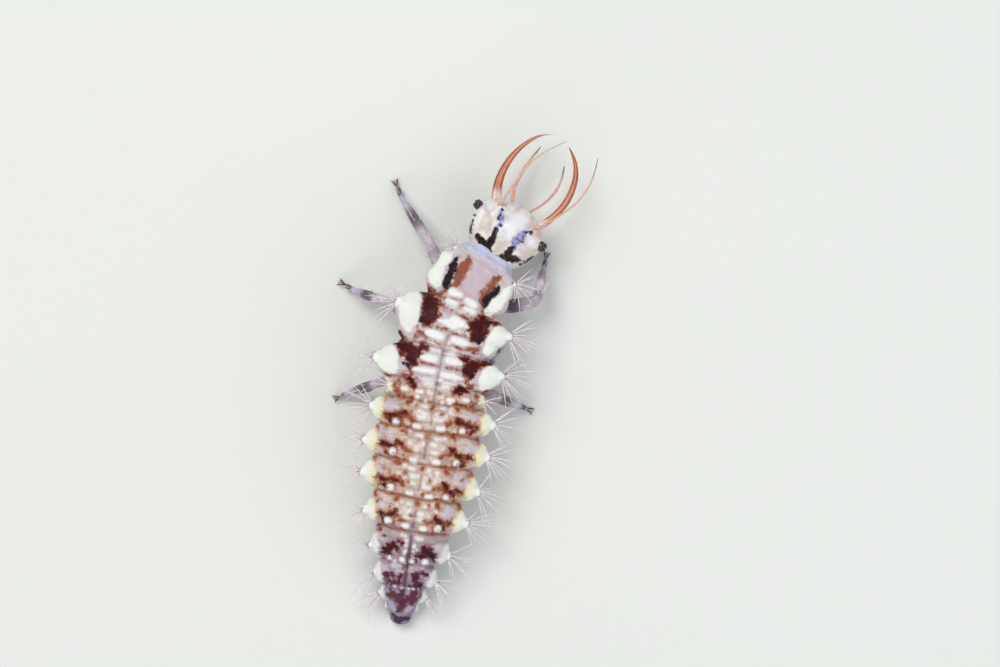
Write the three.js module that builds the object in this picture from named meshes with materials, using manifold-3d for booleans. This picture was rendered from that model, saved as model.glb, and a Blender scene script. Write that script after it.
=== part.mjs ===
// The larva of a green lacewing, life size, standing on a flat floor with its sickle jaws open.
// Millimetres, +Z up, +Y forward along the body, +X to the animal's right. The origin is under the
// middle of the whole, at floor level. The trunk is swept along a curved spine, one solid for each
// segment, and the legs, jaws, feelers and eyes are solids of their own that meet what they grow from.

import * as THREE from "three";
import { mergeVertices } from "three/addons/utils/BufferGeometryUtils.js";
import Module from "manifold-3d";

const wasm = await Module();
wasm.setup();

// Driving sizes
const JOINT_GAP = 0.06; // free space between two pieces that meet
const WELD = 1e-4; // vertices closer than this are one
const ROUND = 22; // sides of the trunk
const BELLY_FLATNESS = 0.86; // depth of the belly side as a share of the back side's height
const SQUARENESS = 0.86; // below 1 the trunk's section is squarer than an ellipse
const BLUNT_TIP = 0.45; // end radius of a rod as a share of its tip radius
const TAIL_TIP = { x: 0.02, y: -4.42, z: 0.1 };
const DARK_TAIL_SEGMENTS = 3;

// Trunk segments from the tail forward. length is measured in plan, yaw turns to the right and rise
// is how far the spine climbs over the segment. bulge is how far its middle swells past its grooves.
const SEGMENTS = [
  { name: "abdomen_10", length: 0.29, yaw: -6, rise: 0.08, bulge: 0.02 },
  { name: "abdomen_9", length: 0.28, yaw: -6, rise: 0.1, bulge: 0.03 },
  { name: "abdomen_8", length: 0.32, yaw: -5, rise: 0.12, bulge: 0.04 },
  { name: "abdomen_7", length: 0.56, yaw: -3, rise: 0.17, bulge: 0.05 },
  { name: "abdomen_6", length: 0.75, yaw: -3, rise: 0.17, bulge: 0.06 },
  { name: "abdomen_5", length: 0.74, yaw: -3, rise: 0.14, bulge: 0.06 },
  { name: "abdomen_4", length: 0.74, yaw: -2, rise: 0.1, bulge: 0.06 },
  { name: "abdomen_3", length: 0.7, yaw: -2, rise: 0.05, bulge: 0.06 },
  { name: "abdomen_2", length: 0.62, yaw: -3, rise: 0.02, bulge: 0.06 },
  { name: "abdomen_1", length: 0.43, yaw: -2, rise: 0.01, bulge: 0.04 },
  { name: "metathorax", length: 0.77, yaw: 0, rise: 0, bulge: 0.05 },
  { name: "mesothorax", length: 1.02, yaw: 8, rise: 0, bulge: 0.06 },
  { name: "prothorax", length: 1.06, yaw: 18, rise: -0.02, bulge: 0.04 },
  { name: "neck", length: 0.22, yaw: 21.5, rise: -0.01, bulge: 0.03 },
];
// Half width and half height of the trunk at the groove behind each segment, and in front of the last.
const GROOVES = [
  { w: 0.17, h: 0.14 },
  { w: 0.26, h: 0.2 },
  { w: 0.36, h: 0.28 },
  { w: 0.45, h: 0.36 },
  { w: 0.61, h: 0.47 },
  { w: 0.83, h: 0.59 },
  { w: 1.0, h: 0.68 },
  { w: 1.14, h: 0.74 },
  { w: 1.18, h: 0.76 },
  { w: 1.14, h: 0.74 },
  { w: 1.05, h: 0.7 },
  { w: 1.04, h: 0.68 },
  { w: 0.86, h: 0.6 },
  { w: 0.68, h: 0.46 },
  { w: 0.6, h: 0.38 },
];
const RINGS_PER_SEGMENT = 4;

// Pale lobes on each side. at is the place along the segment from its rear and span the reach of the
// tip from the midline, each on the left and on the right. long, wide and tall are the lobe's half
// sizes. lift is the angle in degrees at which it stands out above the level.
const SIDE_LOBES = [
  { on: "abdomen_8", at: [0.46, 0.46], span: [0.54, 0.54], long: 0.13, wide: 0.14, tall: 0.13, lift: 12 },
  { on: "abdomen_7", at: [0.46, 0.5], span: [0.73, 0.73], long: 0.2, wide: 0.19, tall: 0.17, lift: 12 },
  { on: "abdomen_6", at: [0.42, 0.42], span: [0.96, 0.96], long: 0.27, wide: 0.24, tall: 0.21, lift: 12 },
  { on: "abdomen_5", at: [0.4, 0.44], span: [1.2, 1.24], long: 0.28, wide: 0.27, tall: 0.23, lift: 12 },
  { on: "abdomen_4", at: [0.47, 0.47], span: [1.4, 1.4], long: 0.28, wide: 0.29, tall: 0.25, lift: 12 },
  { on: "abdomen_3", at: [0.42, 0.52], span: [1.48, 1.47], long: 0.27, wide: 0.3, tall: 0.25, lift: 12 },
  { on: "abdomen_2", at: [0.54, 0.54], span: [1.45, 1.47], long: 0.24, wide: 0.29, tall: 0.24, lift: 12 },
  { on: "abdomen_1", at: [0.52, 0.52], span: [1.14, 1.16], long: 0.14, wide: 0.15, tall: 0.15, lift: 14 },
  { on: "metathorax", at: [0.38, 0.54], span: [1.6, 1.54], long: 0.29, wide: 0.35, tall: 0.28, lift: 16 },
  { on: "mesothorax", at: [0.52, 0.66], span: [1.47, 1.44], long: 0.37, wide: 0.3, tall: 0.28, lift: 18 },
  { on: "prothorax", at: [0.34, 0.42], span: [1.06, 1.0], long: 0.38, wide: 0.22, tall: 0.2, lift: 20 },
  { on: "prothorax", at: [0.78, 0.78], span: [0.95, 0.95], long: 0.19, wide: 0.16, tall: 0.15, lift: 26 },
];
// Small pale warts across the back of some segments. at is the place along the segment from its rear,
// out the distance from the midline as a share of the half width.
const WARTED = ["abdomen_2", "abdomen_3", "abdomen_4", "abdomen_5", "abdomen_6"];
const WARTS = [
  { at: 0.21, out: 0.58, radius: 0.1 },
  { at: 0.17, out: 0.21, radius: 0.075 },
];

// Head, in its own frame: y forward from the line between the eyes, x right, z up.
const HEAD_PITCH = -5;
const HEAD_PLAN = [
  { y: -0.74, w: 0.6, h: 0.36 },
  { y: -0.56, w: 0.74, h: 0.4 },
  { y: -0.28, w: 0.87, h: 0.43 },
  { y: 0.0, w: 0.9, h: 0.41 },
  { y: 0.2, w: 0.8, h: 0.35 },
  { y: 0.34, w: 0.64, h: 0.28 },
  { y: 0.45, w: 0.42, h: 0.2 },
  { y: 0.52, w: 0.22, h: 0.12 },
];
const HEAD_SIDES = 20;
const HEAD_CHIN = 0.9; // depth under the head's level as a share of the height above it
const FEELER_SOCKET = { x: 0.5, y: 0.2, z: 0.24, radius: 0.19 };
// An eye faces out and up by an angle in degrees, with its lenses on a ring at an angle round that way.
const EYE = { x: 0.83, y: 0.0, z: 0.16, radius: 0.13, facing: 25, ring: 37, lens: 0.05, lenses: 5 };

// Jaws, feelers and palps, each a curve in the head's frame with its radius at root, middle and tip.
const JAW = {
  right: [
    [0.44, 0.12, -0.02],
    [0.53, 0.36, -0.02],
    [0.68, 0.72, -0.02],
    [0.75, 1.09, -0.02],
    [0.72, 1.46, -0.01],
    [0.6, 1.81, 0.01],
    [0.37, 2.09, 0.04],
    [0.12, 2.24, 0.07],
  ],
  left: [
    [-0.46, 0.12, -0.02],
    [-0.57, 0.36, -0.02],
    [-0.75, 0.72, -0.02],
    [-0.82, 1.09, -0.02],
    [-0.81, 1.46, -0.01],
    [-0.71, 1.82, 0.01],
    [-0.5, 2.17, 0.04],
    [-0.22, 2.31, 0.07],
  ],
  radii: [0.18, 0.115, 0.035],
  flatness: 0.8,
  sides: 9,
  steps: 14,
};
const ANTENNA = {
  right: [
    [0.46, 0.12, 0.14],
    [0.58, 0.38, 0.36],
    [0.82, 0.86, 0.52],
    [0.96, 1.3, 0.55],
    [0.97, 1.75, 0.54],
    [0.89, 2.1, 0.52],
    [0.79, 2.36, 0.5],
  ],
  left: [
    [-0.42, 0.12, 0.14],
    [-0.44, 0.4, 0.36],
    [-0.43, 0.86, 0.52],
    [-0.41, 1.3, 0.55],
    [-0.3, 1.7, 0.54],
    [-0.13, 2.03, 0.52],
    [0.03, 2.3, 0.5],
  ],
  radii: [0.19, 0.13, 0.05],
  flatness: 1,
  sides: 7,
  steps: 10,
};
const PALP = {
  right: [
    [0.1, 0.28, -0.16],
    [0.2, 0.58, -0.26],
    [0.34, 0.88, -0.32],
    [0.41, 1.2, -0.34],
    [0.4, 1.52, -0.34],
    [0.27, 1.88, -0.32],
  ],
  left: [
    [-0.12, 0.28, -0.16],
    [-0.27, 0.58, -0.26],
    [-0.39, 0.88, -0.32],
    [-0.43, 1.2, -0.34],
    [-0.44, 1.52, -0.34],
    [-0.4, 1.96, -0.32],
  ],
  radii: [0.16, 0.13, 0.05],
  flatness: 1,
  sides: 7,
  steps: 9,
};

// Legs: the segment that carries each, and the places in plan of its hip, knee, ankle and toe.
const LEGS = {
  leg_front_left: {
    on: "prothorax",
    plan: [[-0.6, 3.36], [-1.06, 3.98], [-1.88, 4.84], [-2.06, 5.1]],
  },
  leg_front_right: {
    on: "prothorax",
    plan: [[0.8, 2.94], [1.5, 3.24], [1.51, 3.96], [1.51, 4.2]],
  },
  leg_middle_left: {
    on: "mesothorax",
    plan: [[-0.88, 2.28], [-1.65, 2.52], [-2.52, 2.64], [-2.74, 2.71]],
  },
  leg_middle_right: {
    on: "mesothorax",
    plan: [[0.5, 2.04], [0.98, 2.44], [0.84, 1.84], [0.8, 1.62]],
  },
  leg_hind_left: {
    on: "metathorax",
    plan: [[-0.86, 1.1], [-1.5, 0.76], [-2.14, 0.4], [-2.33, 0.27]],
  },
  leg_hind_right: {
    on: "metathorax",
    plan: [[0.46, 1.1], [1.08, 0.98], [1.56, 0.9], [1.78, 0.86]],
  },
};
const LEG_HEIGHTS = [0.6, 0.92, 0.27, 0.1]; // of the hip, knee, ankle and toe
const LEG_RADII = {
  root: 0.29,
  hip: 0.25,
  thigh: 0.25,
  knee: 0.2,
  shin: 0.19,
  ankle: 0.14,
  foot: 0.12,
  toe: 0.11,
};
const LEG_ROOT_AT = 0.42; // place of the hip's root along its segment
const LEG_ROOT_ANGLE = 50; // how far under the side of the trunk it lies, in degrees
const LEG_ROOT_DEPTH = 0.75; // and its distance out from the spine, as a share of the trunk's
const LEG_SIDES = 7;
const FOOT_PAD = { top: 0.11, base: 0.14, height: 0.12, sides: 9 };
// Claws curve over a knuckle down to the tip: the reach, height and radius of each, and the spread
// of a foot's two claws to either side, in degrees.
const CLAW = {
  knuckle: { reach: 0.156, height: 0.13 },
  tip: { reach: 0.26, height: 0.045 },
  radii: [0.07, 0.055, 0.03],
  spread: 30,
  sides: 5,
  steps: 3,
};
// Sides and rows of the balls that small round forms are made from.
const BALLS = { lobe: [9, 7], wart: [7, 4], socket: [9, 7], eye: [8, 6], lens: [6, 4], joint: [7, 4] };

const COLOURS = {
  flesh: new THREE.Color(0.66, 0.54, 0.5),
  tail: new THREE.Color(0.42, 0.32, 0.36),
  head: new THREE.Color(0.86, 0.82, 0.76),
  jaw: new THREE.Color(0.52, 0.2, 0.07),
  feeler: new THREE.Color(0.72, 0.5, 0.44),
  leg: new THREE.Color(0.46, 0.4, 0.44),
  eye: new THREE.Color(0.03, 0.03, 0.05),
};

const finish = (colour, roughness) =>
  new THREE.MeshStandardMaterial({ color: colour, roughness, metalness: 0 });
const MATERIALS = {
  flesh: finish(COLOURS.flesh, 0.55),
  tail: finish(COLOURS.tail, 0.55),
  head: finish(COLOURS.head, 0.4),
  jaw: finish(COLOURS.jaw, 0.25),
  feeler: finish(COLOURS.feeler, 0.4),
  leg: finish(COLOURS.leg, 0.45),
  eye: finish(COLOURS.eye, 0.15),
};

// Solids

const radians = THREE.MathUtils.degToRad;
const mix = THREE.MathUtils.lerp;
const vector = (p) => new THREE.Vector3(...p);

// A closed geometry as a solid, with its faces pointing out.
function solidOf(geometry) {
  const bare = new THREE.BufferGeometry();
  bare.setAttribute("position", geometry.getAttribute("position"));
  bare.setIndex(geometry.getIndex());
  const merged = mergeVertices(bare, WELD);
  const triVerts = new Uint32Array(merged.index.array);
  const vertProperties = new Float32Array(merged.attributes.position.array);
  return new wasm.Manifold(new wasm.Mesh({ numProp: 3, vertProperties, triVerts }));
}

// Joins solids and keeps the largest closed surface of the result.
function fuse(solids) {
  const joined = solids.reduce((whole, next) => whole.add(next));
  return largest(joined);
}

function largest(solid) {
  return solid.decompose().reduce((best, body) => (body.volume() > best.volume() ? body : best));
}

// A mesh of a solid, with its vertices measured from pivot and the mesh placed there.
function meshOf(name, solid, material, pivot = new THREE.Vector3()) {
  const { vertProperties, triVerts, numProp, numVert } = solid.getMesh();
  const positions = new Float32Array(numVert * 3);
  for (let i = 0; i < numVert; i++) {
    positions[3 * i] = vertProperties[numProp * i] - pivot.x;
    positions[3 * i + 1] = vertProperties[numProp * i + 1] - pivot.y;
    positions[3 * i + 2] = vertProperties[numProp * i + 2] - pivot.z;
  }
  const geometry = new THREE.BufferGeometry();
  geometry.setAttribute("position", new THREE.BufferAttribute(positions, 3));
  geometry.setIndex(new THREE.BufferAttribute(new Uint32Array(triVerts), 1));
  geometry.computeVertexNormals();
  const mesh = new THREE.Mesh(geometry, material);
  mesh.name = name;
  mesh.position.copy(pivot);
  return mesh;
}

// A closed drum whose vertices are moved by place(share along, angle, share out from the axis).
function drum(sides, steps, place) {
  const geometry = new THREE.CylinderGeometry(1, 1, 1, sides, steps);
  const position = geometry.getAttribute("position");
  for (let i = 0; i < position.count; i++) {
    const x = position.getX(i);
    const z = position.getZ(i);
    const moved = place(position.getY(i) + 0.5, Math.atan2(z, x), Math.min(1, Math.hypot(x, z)));
    position.setXYZ(i, moved.x, moved.y, moved.z);
  }
  return solidOf(geometry);
}

// A ball stretched to half sizes along three directions. grain is its sides and rows.
function ball(centre, axes, halves, grain) {
  const [across, along, up] = axes;
  const matrix = new THREE.Matrix4().makeBasis(
    across.clone().multiplyScalar(halves[0]),
    along.clone().multiplyScalar(halves[1]),
    up.clone().multiplyScalar(halves[2]),
  );
  matrix.setPosition(centre);
  return solidOf(new THREE.SphereGeometry(1, ...grain).applyMatrix4(matrix));
}

const AXES = [new THREE.Vector3(1, 0, 0), new THREE.Vector3(0, 1, 0), new THREE.Vector3(0, 0, 1)];
const roundBall = (centre, radius, grain) => ball(centre, AXES, [radius, radius, radius], grain);

// Everything under the floor, which all that reaches it is cut flat by.
const FLOOR_SIZE = { width: 30, depth: 4 };
const FLOOR = solidOf(
  new THREE.BoxGeometry(FLOOR_SIZE.width, FLOOR_SIZE.width, FLOOR_SIZE.depth)
    .translate(0, 0, -FLOOR_SIZE.depth / 2),
);

// A frame on a curve: its point, forward, right and up.
function frameOf(point, forward) {
  const right = new THREE.Vector3().crossVectors(forward, AXES[2]).normalize();
  const up = new THREE.Vector3().crossVectors(right, forward);
  return { point, forward, right, up };
}

// A tapering rod along a curve, given its radius at the root, in the middle and at the rounded tip.
function rod(points, radii, { sides, steps, flatness = 1 }) {
  const curve = new THREE.CatmullRomCurve3(points, false, "centripetal");
  const length = curve.getLength();
  return drum(sides, steps, (t, angle, out) => {
    const frame = frameOf(curve.getPointAt(t), curve.getTangentAt(t));
    const radius = t < 0.5 ? mix(radii[0], radii[1], 2 * t) : mix(radii[1], radii[2], 2 * t - 1);
    const fromTip = Math.min(1, ((1 - t) * length) / radii[2]);
    const round = Math.max(BLUNT_TIP, Math.sqrt(1 - (1 - fromTip) ** 2));
    const reach = out * radius * round;
    return frame.point
      .addScaledVector(frame.right, reach * Math.cos(angle))
      .addScaledVector(frame.up, reach * flatness * Math.sin(angle));
  });
}

// Trunk

const spinePoints = [new THREE.Vector3(TAIL_TIP.x, TAIL_TIP.y, TAIL_TIP.z)];
for (const { length, yaw, rise } of SEGMENTS) {
  const step = new THREE.Vector3(length * Math.sin(radians(yaw)), length * Math.cos(radians(yaw)), rise);
  spinePoints.push(spinePoints.at(-1).clone().add(step));
}
const spine = new THREE.CatmullRomCurve3(spinePoints, false, "centripetal");
const indexOf = (name) => SEGMENTS.findIndex((segment) => segment.name === name);

// The spine's frame at a station: 3.5 is the middle of the fourth segment.
function spineFrame(station) {
  const share = THREE.MathUtils.clamp(station / SEGMENTS.length, 0, 1);
  return frameOf(spine.getPoint(share), spine.getTangent(share));
}

function trunkHalves(station) {
  const i = Math.min(SEGMENTS.length - 1, Math.floor(station));
  const t = station - i;
  const swell = SEGMENTS[i].bulge * Math.sin(Math.PI * t);
  return {
    w: mix(GROOVES[i].w, GROOVES[i + 1].w, t) + swell,
    h: mix(GROOVES[i].h, GROOVES[i + 1].h, t) + swell,
  };
}

// A point of the trunk's surface, or grown outwards, or part of the way out from the spine.
function trunkPoint(station, angle, { grow = 0, out = 1 } = {}) {
  const { point, right, up } = spineFrame(station);
  const { w, h } = trunkHalves(station);
  const square = (v) => Math.sign(v) * Math.abs(v) ** SQUARENESS;
  const across = square(Math.cos(angle)) * (w + grow);
  const height = square(Math.sin(angle)) * (h + grow) * (angle < 0 ? BELLY_FLATNESS : 1);
  return point.addScaledVector(right, across * out).addScaledVector(up, height * out);
}

function trunkDrum(index, grow) {
  const inset = grow ? 0 : JOINT_GAP / 2 / SEGMENTS[index].length;
  return drum(ROUND, RINGS_PER_SEGMENT, (t, angle, out) =>
    trunkPoint(index + mix(inset, 1 - inset, t), angle, { grow, out }),
  );
}

// The pale lobes on both sides of a segment, sunk into it.
function sideLobes(index, grow) {
  const here = SIDE_LOBES.filter((lobe) => lobe.on === SEGMENTS[index].name);
  return here.flatMap(({ at, span, long, wide, tall, lift }) =>
    [-1, 1].map((side) => {
      const hand = side < 0 ? 0 : 1;
      const { point, forward, right, up } = spineFrame(index + at[hand]);
      const angle = radians(lift);
      const outward = right.multiplyScalar(side * Math.cos(angle)).addScaledVector(up, Math.sin(angle));
      const top = new THREE.Vector3().crossVectors(outward, forward).normalize();
      const centre = point.addScaledVector(outward, span[hand] - wide);
      const halves = [wide, long, tall].map((half) => half + grow);
      return ball(centre, [outward, forward, top], halves, BALLS.lobe);
    }),
  );
}

function backWarts(index) {
  if (!WARTED.includes(SEGMENTS[index].name)) return [];
  return WARTS.flatMap(({ at, out, radius }) =>
    [-1, 1].map((side) => {
      const { forward, right, up } = spineFrame(index + at);
      const centre = trunkPoint(index + at, Math.PI / 2 - side * Math.asin(out));
      return ball(centre, [right, forward, up], [radius, radius, radius], BALLS.wart);
    }),
  );
}

// One segment of the trunk. With grow it is the room that its neighbours keep clear of.
function trunkSegment(index, grow = 0) {
  const whole = [trunkDrum(index, grow), ...sideLobes(index, grow)];
  if (!grow) whole.push(...backWarts(index));
  return fuse(whole).subtract(FLOOR);
}

// Head

function headHalves(t) {
  const scaled = t * (HEAD_PLAN.length - 1);
  const i = Math.min(HEAD_PLAN.length - 2, Math.floor(scaled));
  const [a, b] = [HEAD_PLAN[i], HEAD_PLAN[i + 1]];
  const part = scaled - i;
  return { y: mix(a.y, b.y, part), w: mix(a.w, b.w, part), h: mix(a.h, b.h, part) };
}

// The head with the low sockets that its feelers stand on, or the room that its neighbours keep clear of.
function headSolid(grow = 0) {
  const capsule = drum(HEAD_SIDES, HEAD_PLAN.length - 1, (t, angle, out) => {
    const { y, w, h } = headHalves(t);
    const depth = angle < 0 ? HEAD_CHIN : 1;
    const across = out * (w + grow) * Math.cos(angle);
    const height = out * (h + grow) * depth * Math.sin(angle);
    return new THREE.Vector3(across, y + grow * (2 * t - 1), height);
  });
  const sockets = [-1, 1].map((side) => {
    const { x, y, z, radius } = FEELER_SOCKET;
    return roundBall(new THREE.Vector3(side * x, y, z), radius + grow, BALLS.socket);
  });
  return fuse([capsule, ...sockets]);
}

// An eye is a dark mound with a ring of small round lenses.
function eyeSolid(side) {
  const centre = new THREE.Vector3(side * EYE.x, EYE.y, EYE.z);
  const [facing, ring] = [radians(EYE.facing), radians(EYE.ring)];
  const outward = new THREE.Vector3(side * Math.cos(facing), 0, Math.sin(facing));
  const upward = new THREE.Vector3(-side * Math.sin(facing), 0, Math.cos(facing));
  const pieces = [roundBall(centre, EYE.radius, BALLS.eye)];
  for (let i = 0; i < EYE.lenses; i++) {
    const turn = (2 * Math.PI * i) / EYE.lenses;
    const place = centre
      .clone()
      .addScaledVector(outward, EYE.radius * Math.cos(ring))
      .addScaledVector(AXES[1], EYE.radius * Math.sin(ring) * Math.cos(turn))
      .addScaledVector(upward, EYE.radius * Math.sin(ring) * Math.sin(turn));
    pieces.push(roundBall(place, EYE.lens, BALLS.lens));
  }
  return largest(fuse(pieces).subtract(headSolid(JOINT_GAP)));
}

// A jaw, feeler or palp, cut clear of the head and of the pieces beside it.
function mouthPart(form, side, clearOf) {
  const whole = rod(form[side].map(vector), form.radii, form);
  return largest(clearOf.reduce((left, other) => left.subtract(other), whole));
}

// Legs

function legSolid(name, clearOf) {
  const { on, plan } = LEGS[name];
  const side = name.endsWith("left") ? -1 : 1;
  const rootAngle = -Math.PI / 2 + side * radians(90 - LEG_ROOT_ANGLE);
  const root = trunkPoint(indexOf(on) + LEG_ROOT_AT, rootAngle, { out: LEG_ROOT_DEPTH });
  const [hip, knee, ankle, toe] = plan.map((spot, i) => new THREE.Vector3(...spot, LEG_HEIGHTS[i]));
  const limb = (a, b, radii, steps) => rod([a, b], radii, { sides: LEG_SIDES, steps });
  const r = LEG_RADII;
  const pad = new THREE.CylinderGeometry(FOOT_PAD.top, FOOT_PAD.base, FOOT_PAD.height, FOOT_PAD.sides);
  pad.rotateX(Math.PI / 2).translate(toe.x, toe.y, FOOT_PAD.height / 2);
  const pieces = [
    limb(root, hip, [r.root, r.root, r.hip], 2),
    roundBall(hip, r.hip, BALLS.joint),
    limb(hip, knee, [r.hip, r.thigh, r.knee], 3),
    roundBall(knee, r.knee, BALLS.joint),
    limb(knee, ankle, [r.knee, r.shin, r.ankle], 3),
    roundBall(ankle, r.ankle, BALLS.joint),
    limb(ankle, toe, [r.ankle, r.foot, r.toe], 2),
    solidOf(pad),
    ...claws(ankle, toe),
  ];
  const room = clearOf.reduce((left, other) => left.subtract(other), fuse(pieces));
  return largest(room.subtract(FLOOR));
}

function claws(ankle, toe) {
  const heading = toe.clone().sub(ankle).setZ(0).normalize();
  return [-1, 1].map((side) => {
    const way = heading.clone().applyAxisAngle(AXES[2], side * radians(CLAW.spread));
    const [knuckle, tip] = [CLAW.knuckle, CLAW.tip].map(({ reach, height }) =>
      toe.clone().addScaledVector(way, reach).setZ(height),
    );
    return rod([toe, knuckle, tip], CLAW.radii, CLAW);
  });
}

// Assembly

const larva = new THREE.Group();

SEGMENTS.forEach(({ name }, index) => {
  const material = index < DARK_TAIL_SEGMENTS ? MATERIALS.tail : MATERIALS.flesh;
  larva.add(meshOf(name, trunkSegment(index), material, spineFrame(index).point));
});

// The head carries on from the last station of the spine.
const neckEnd = spineFrame(SEGMENTS.length).point;
const head = new THREE.Group();
head.rotation.set(radians(HEAD_PITCH), 0, radians(-SEGMENTS.at(-1).yaw), "ZXY");
head.position.copy(neckEnd);
head.updateMatrix();
head.position.copy(new THREE.Vector3(0, JOINT_GAP / 2 - HEAD_PLAN[0].y, 0).applyMatrix4(head.matrix));
const headRoom = headSolid(JOINT_GAP);
head.add(meshOf("head", headSolid(), MATERIALS.head));
for (const side of ["left", "right"]) {
  const jawRoom = rod(JAW[side].map(vector), JAW.radii.map((radius) => radius + JOINT_GAP), JAW);
  head.add(meshOf("jaw_" + side, mouthPart(JAW, side, [headRoom]), MATERIALS.jaw));
  head.add(meshOf("antenna_" + side, mouthPart(ANTENNA, side, [headRoom, jawRoom]), MATERIALS.feeler));
  head.add(meshOf("palp_" + side, mouthPart(PALP, side, [headRoom, jawRoom]), MATERIALS.feeler));
  head.add(meshOf("eye_" + side, eyeSolid(side === "left" ? -1 : 1), MATERIALS.eye));
}
larva.add(head);

const thoraxRoom = ["abdomen_1", "metathorax", "mesothorax", "prothorax"].map((name) =>
  trunkSegment(indexOf(name), JOINT_GAP),
);
for (const [name, { plan }] of Object.entries(LEGS)) {
  const hip = new THREE.Vector3(...plan[0], LEG_HEIGHTS[0]);
  larva.add(meshOf(name, legSolid(name, thoraxRoom), MATERIALS.leg, hip));
}

// The origin is moved under the middle of the whole.
larva.updateMatrixWorld(true);
const bounds = new THREE.Box3().setFromObject(larva, true);
const middle = bounds.getCenter(new THREE.Vector3());
larva.position.set(-middle.x, -middle.y, -bounds.min.z);

export default larva;
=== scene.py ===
"""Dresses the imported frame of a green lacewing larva: soft skin, head, jaws, feelers, legs and bristles.

Sizes in the tables are millimetres in the larva's own axes, +Y forward along the body, +X to its right
and +Z up. Meshes are written in metres, in the frame's axes.
"""

import math

import bpy
import numpy as np
from bpy.props import FloatProperty, FloatVectorProperty, IntProperty, PointerProperty
from mathutils import Matrix, Vector


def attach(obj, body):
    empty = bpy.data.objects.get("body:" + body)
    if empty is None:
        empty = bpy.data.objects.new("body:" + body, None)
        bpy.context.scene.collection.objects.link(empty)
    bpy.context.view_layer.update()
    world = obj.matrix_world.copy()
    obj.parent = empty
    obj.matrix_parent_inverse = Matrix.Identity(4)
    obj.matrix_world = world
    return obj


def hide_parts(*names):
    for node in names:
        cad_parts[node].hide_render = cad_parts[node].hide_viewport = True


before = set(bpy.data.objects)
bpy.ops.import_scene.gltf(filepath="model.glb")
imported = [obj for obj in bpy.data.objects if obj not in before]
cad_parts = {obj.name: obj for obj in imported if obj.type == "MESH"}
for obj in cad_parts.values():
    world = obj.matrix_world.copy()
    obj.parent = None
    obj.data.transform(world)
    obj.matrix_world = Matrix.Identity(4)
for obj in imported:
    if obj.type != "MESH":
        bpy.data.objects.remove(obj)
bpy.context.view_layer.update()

bl_info = {
    "name": "Green Lacewing Larva",
    "version": (1, 0, 0),
    "blender": (4, 5, 0),
    "location": "View3D > Sidebar > Larva",
    "description": "Builds the visible skin, head, jaws, feelers, legs and bristles of a lacewing larva",
    "category": "Object",
}

MM = 0.001
LARVA_ORIGIN = np.array([0.383229, -1.270434, 0.0])  # the larva's own origin in the frame, mm

# The trunk from the tail forward: length in plan, yaw to the right, rise, and swell between grooves.
SEGMENTS = [
    ("abdomen_10", 0.29, -6, 0.08, 0.02),
    ("abdomen_9", 0.28, -6, 0.1, 0.03),
    ("abdomen_8", 0.32, -5, 0.12, 0.04),
    ("abdomen_7", 0.56, -3, 0.17, 0.05),
    ("abdomen_6", 0.75, -3, 0.17, 0.06),
    ("abdomen_5", 0.74, -3, 0.14, 0.06),
    ("abdomen_4", 0.74, -2, 0.1, 0.06),
    ("abdomen_3", 0.7, -2, 0.05, 0.06),
    ("abdomen_2", 0.62, -3, 0.02, 0.06),
    ("abdomen_1", 0.43, -2, 0.01, 0.04),
    ("metathorax", 0.77, 0, 0.0, 0.05),
    ("mesothorax", 1.02, 8, 0.0, 0.06),
    ("prothorax", 1.06, 18, -0.02, 0.04),
    ("neck", 0.22, 21.5, -0.01, 0.03),
]
NAMES = [segment[0] for segment in SEGMENTS]
TAIL_TIP = (0.02, -4.42, 0.1)
# Half width and half height at each groove, from the tail's end to the front of the neck.
HALF_WIDTHS = [0.17, 0.26, 0.36, 0.45, 0.61, 0.83, 1.0, 1.14, 1.18, 1.14, 1.05, 1.04, 0.86, 0.68, 0.6]
HALF_HEIGHTS = [0.14, 0.2, 0.28, 0.36, 0.47, 0.59, 0.68, 0.74, 0.76, 0.74, 0.7, 0.68, 0.6, 0.46, 0.38]
BELLY_FLATNESS = 0.86  # height of the underside as a share of the back's
SQUARENESS = 0.86  # power of the sections' cosine and sine, squarer when smaller
NECK_TUCK = 0.22  # how far the neck's skin runs on into the head
TAIL_ROUND = 0.012  # share of the length over which the tail's end closes

LEFT, RIGHT, BOTH = (-1,), (1,), (-1, 1)
# Pale lobes on the sides: segment, then on the left and right the place along it and the reach, then
# half length, half height, and lift.
LOBES = [
    ("abdomen_9", (0.5, 0.5), (0.38, 0.38), 0.14, 0.1, 12),
    ("abdomen_8", (0.46, 0.46), (0.53, 0.53), 0.2, 0.17, 12),
    ("abdomen_7", (0.46, 0.5), (0.71, 0.71), 0.27, 0.22, 12),
    ("abdomen_6", (0.42, 0.42), (0.9, 0.91), 0.28, 0.23, 14),
    ("abdomen_5", (0.4, 0.44), (1.13, 1.17), 0.3, 0.24, 14),
    ("abdomen_4", (0.47, 0.47), (1.33, 1.33), 0.31, 0.25, 14),
    ("abdomen_3", (0.42, 0.52), (1.41, 1.4), 0.31, 0.25, 14),
    ("abdomen_2", (0.54, 0.54), (1.38, 1.4), 0.3, 0.25, 14),
    ("abdomen_1", (0.52, 0.52), (1.11, 1.13), 0.18, 0.16, 16),
    ("metathorax", (0.38, 0.52), (1.5, 1.46), 0.4, 0.27, 18),
    ("metathorax", (0.12, 0.26), (1.24, 1.2), 0.26, 0.24, 16),
    ("mesothorax", (0.57, 0.71), (1.39, 1.36), 0.42, 0.27, 20),
    ("mesothorax", (0.28, 0.36), (1.18, 1.16), 0.34, 0.24, 16),
    ("prothorax", (0.32, 0.4), (1.06, 1.0), 0.32, 0.22, 22),
    ("prothorax", (0.66, 0.7), (1.02, 0.95), 0.23, 0.19, 24),
    ("prothorax", (0.92, 0.92), (0.88, 0.92), 0.2, 0.16, 28),
]
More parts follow.
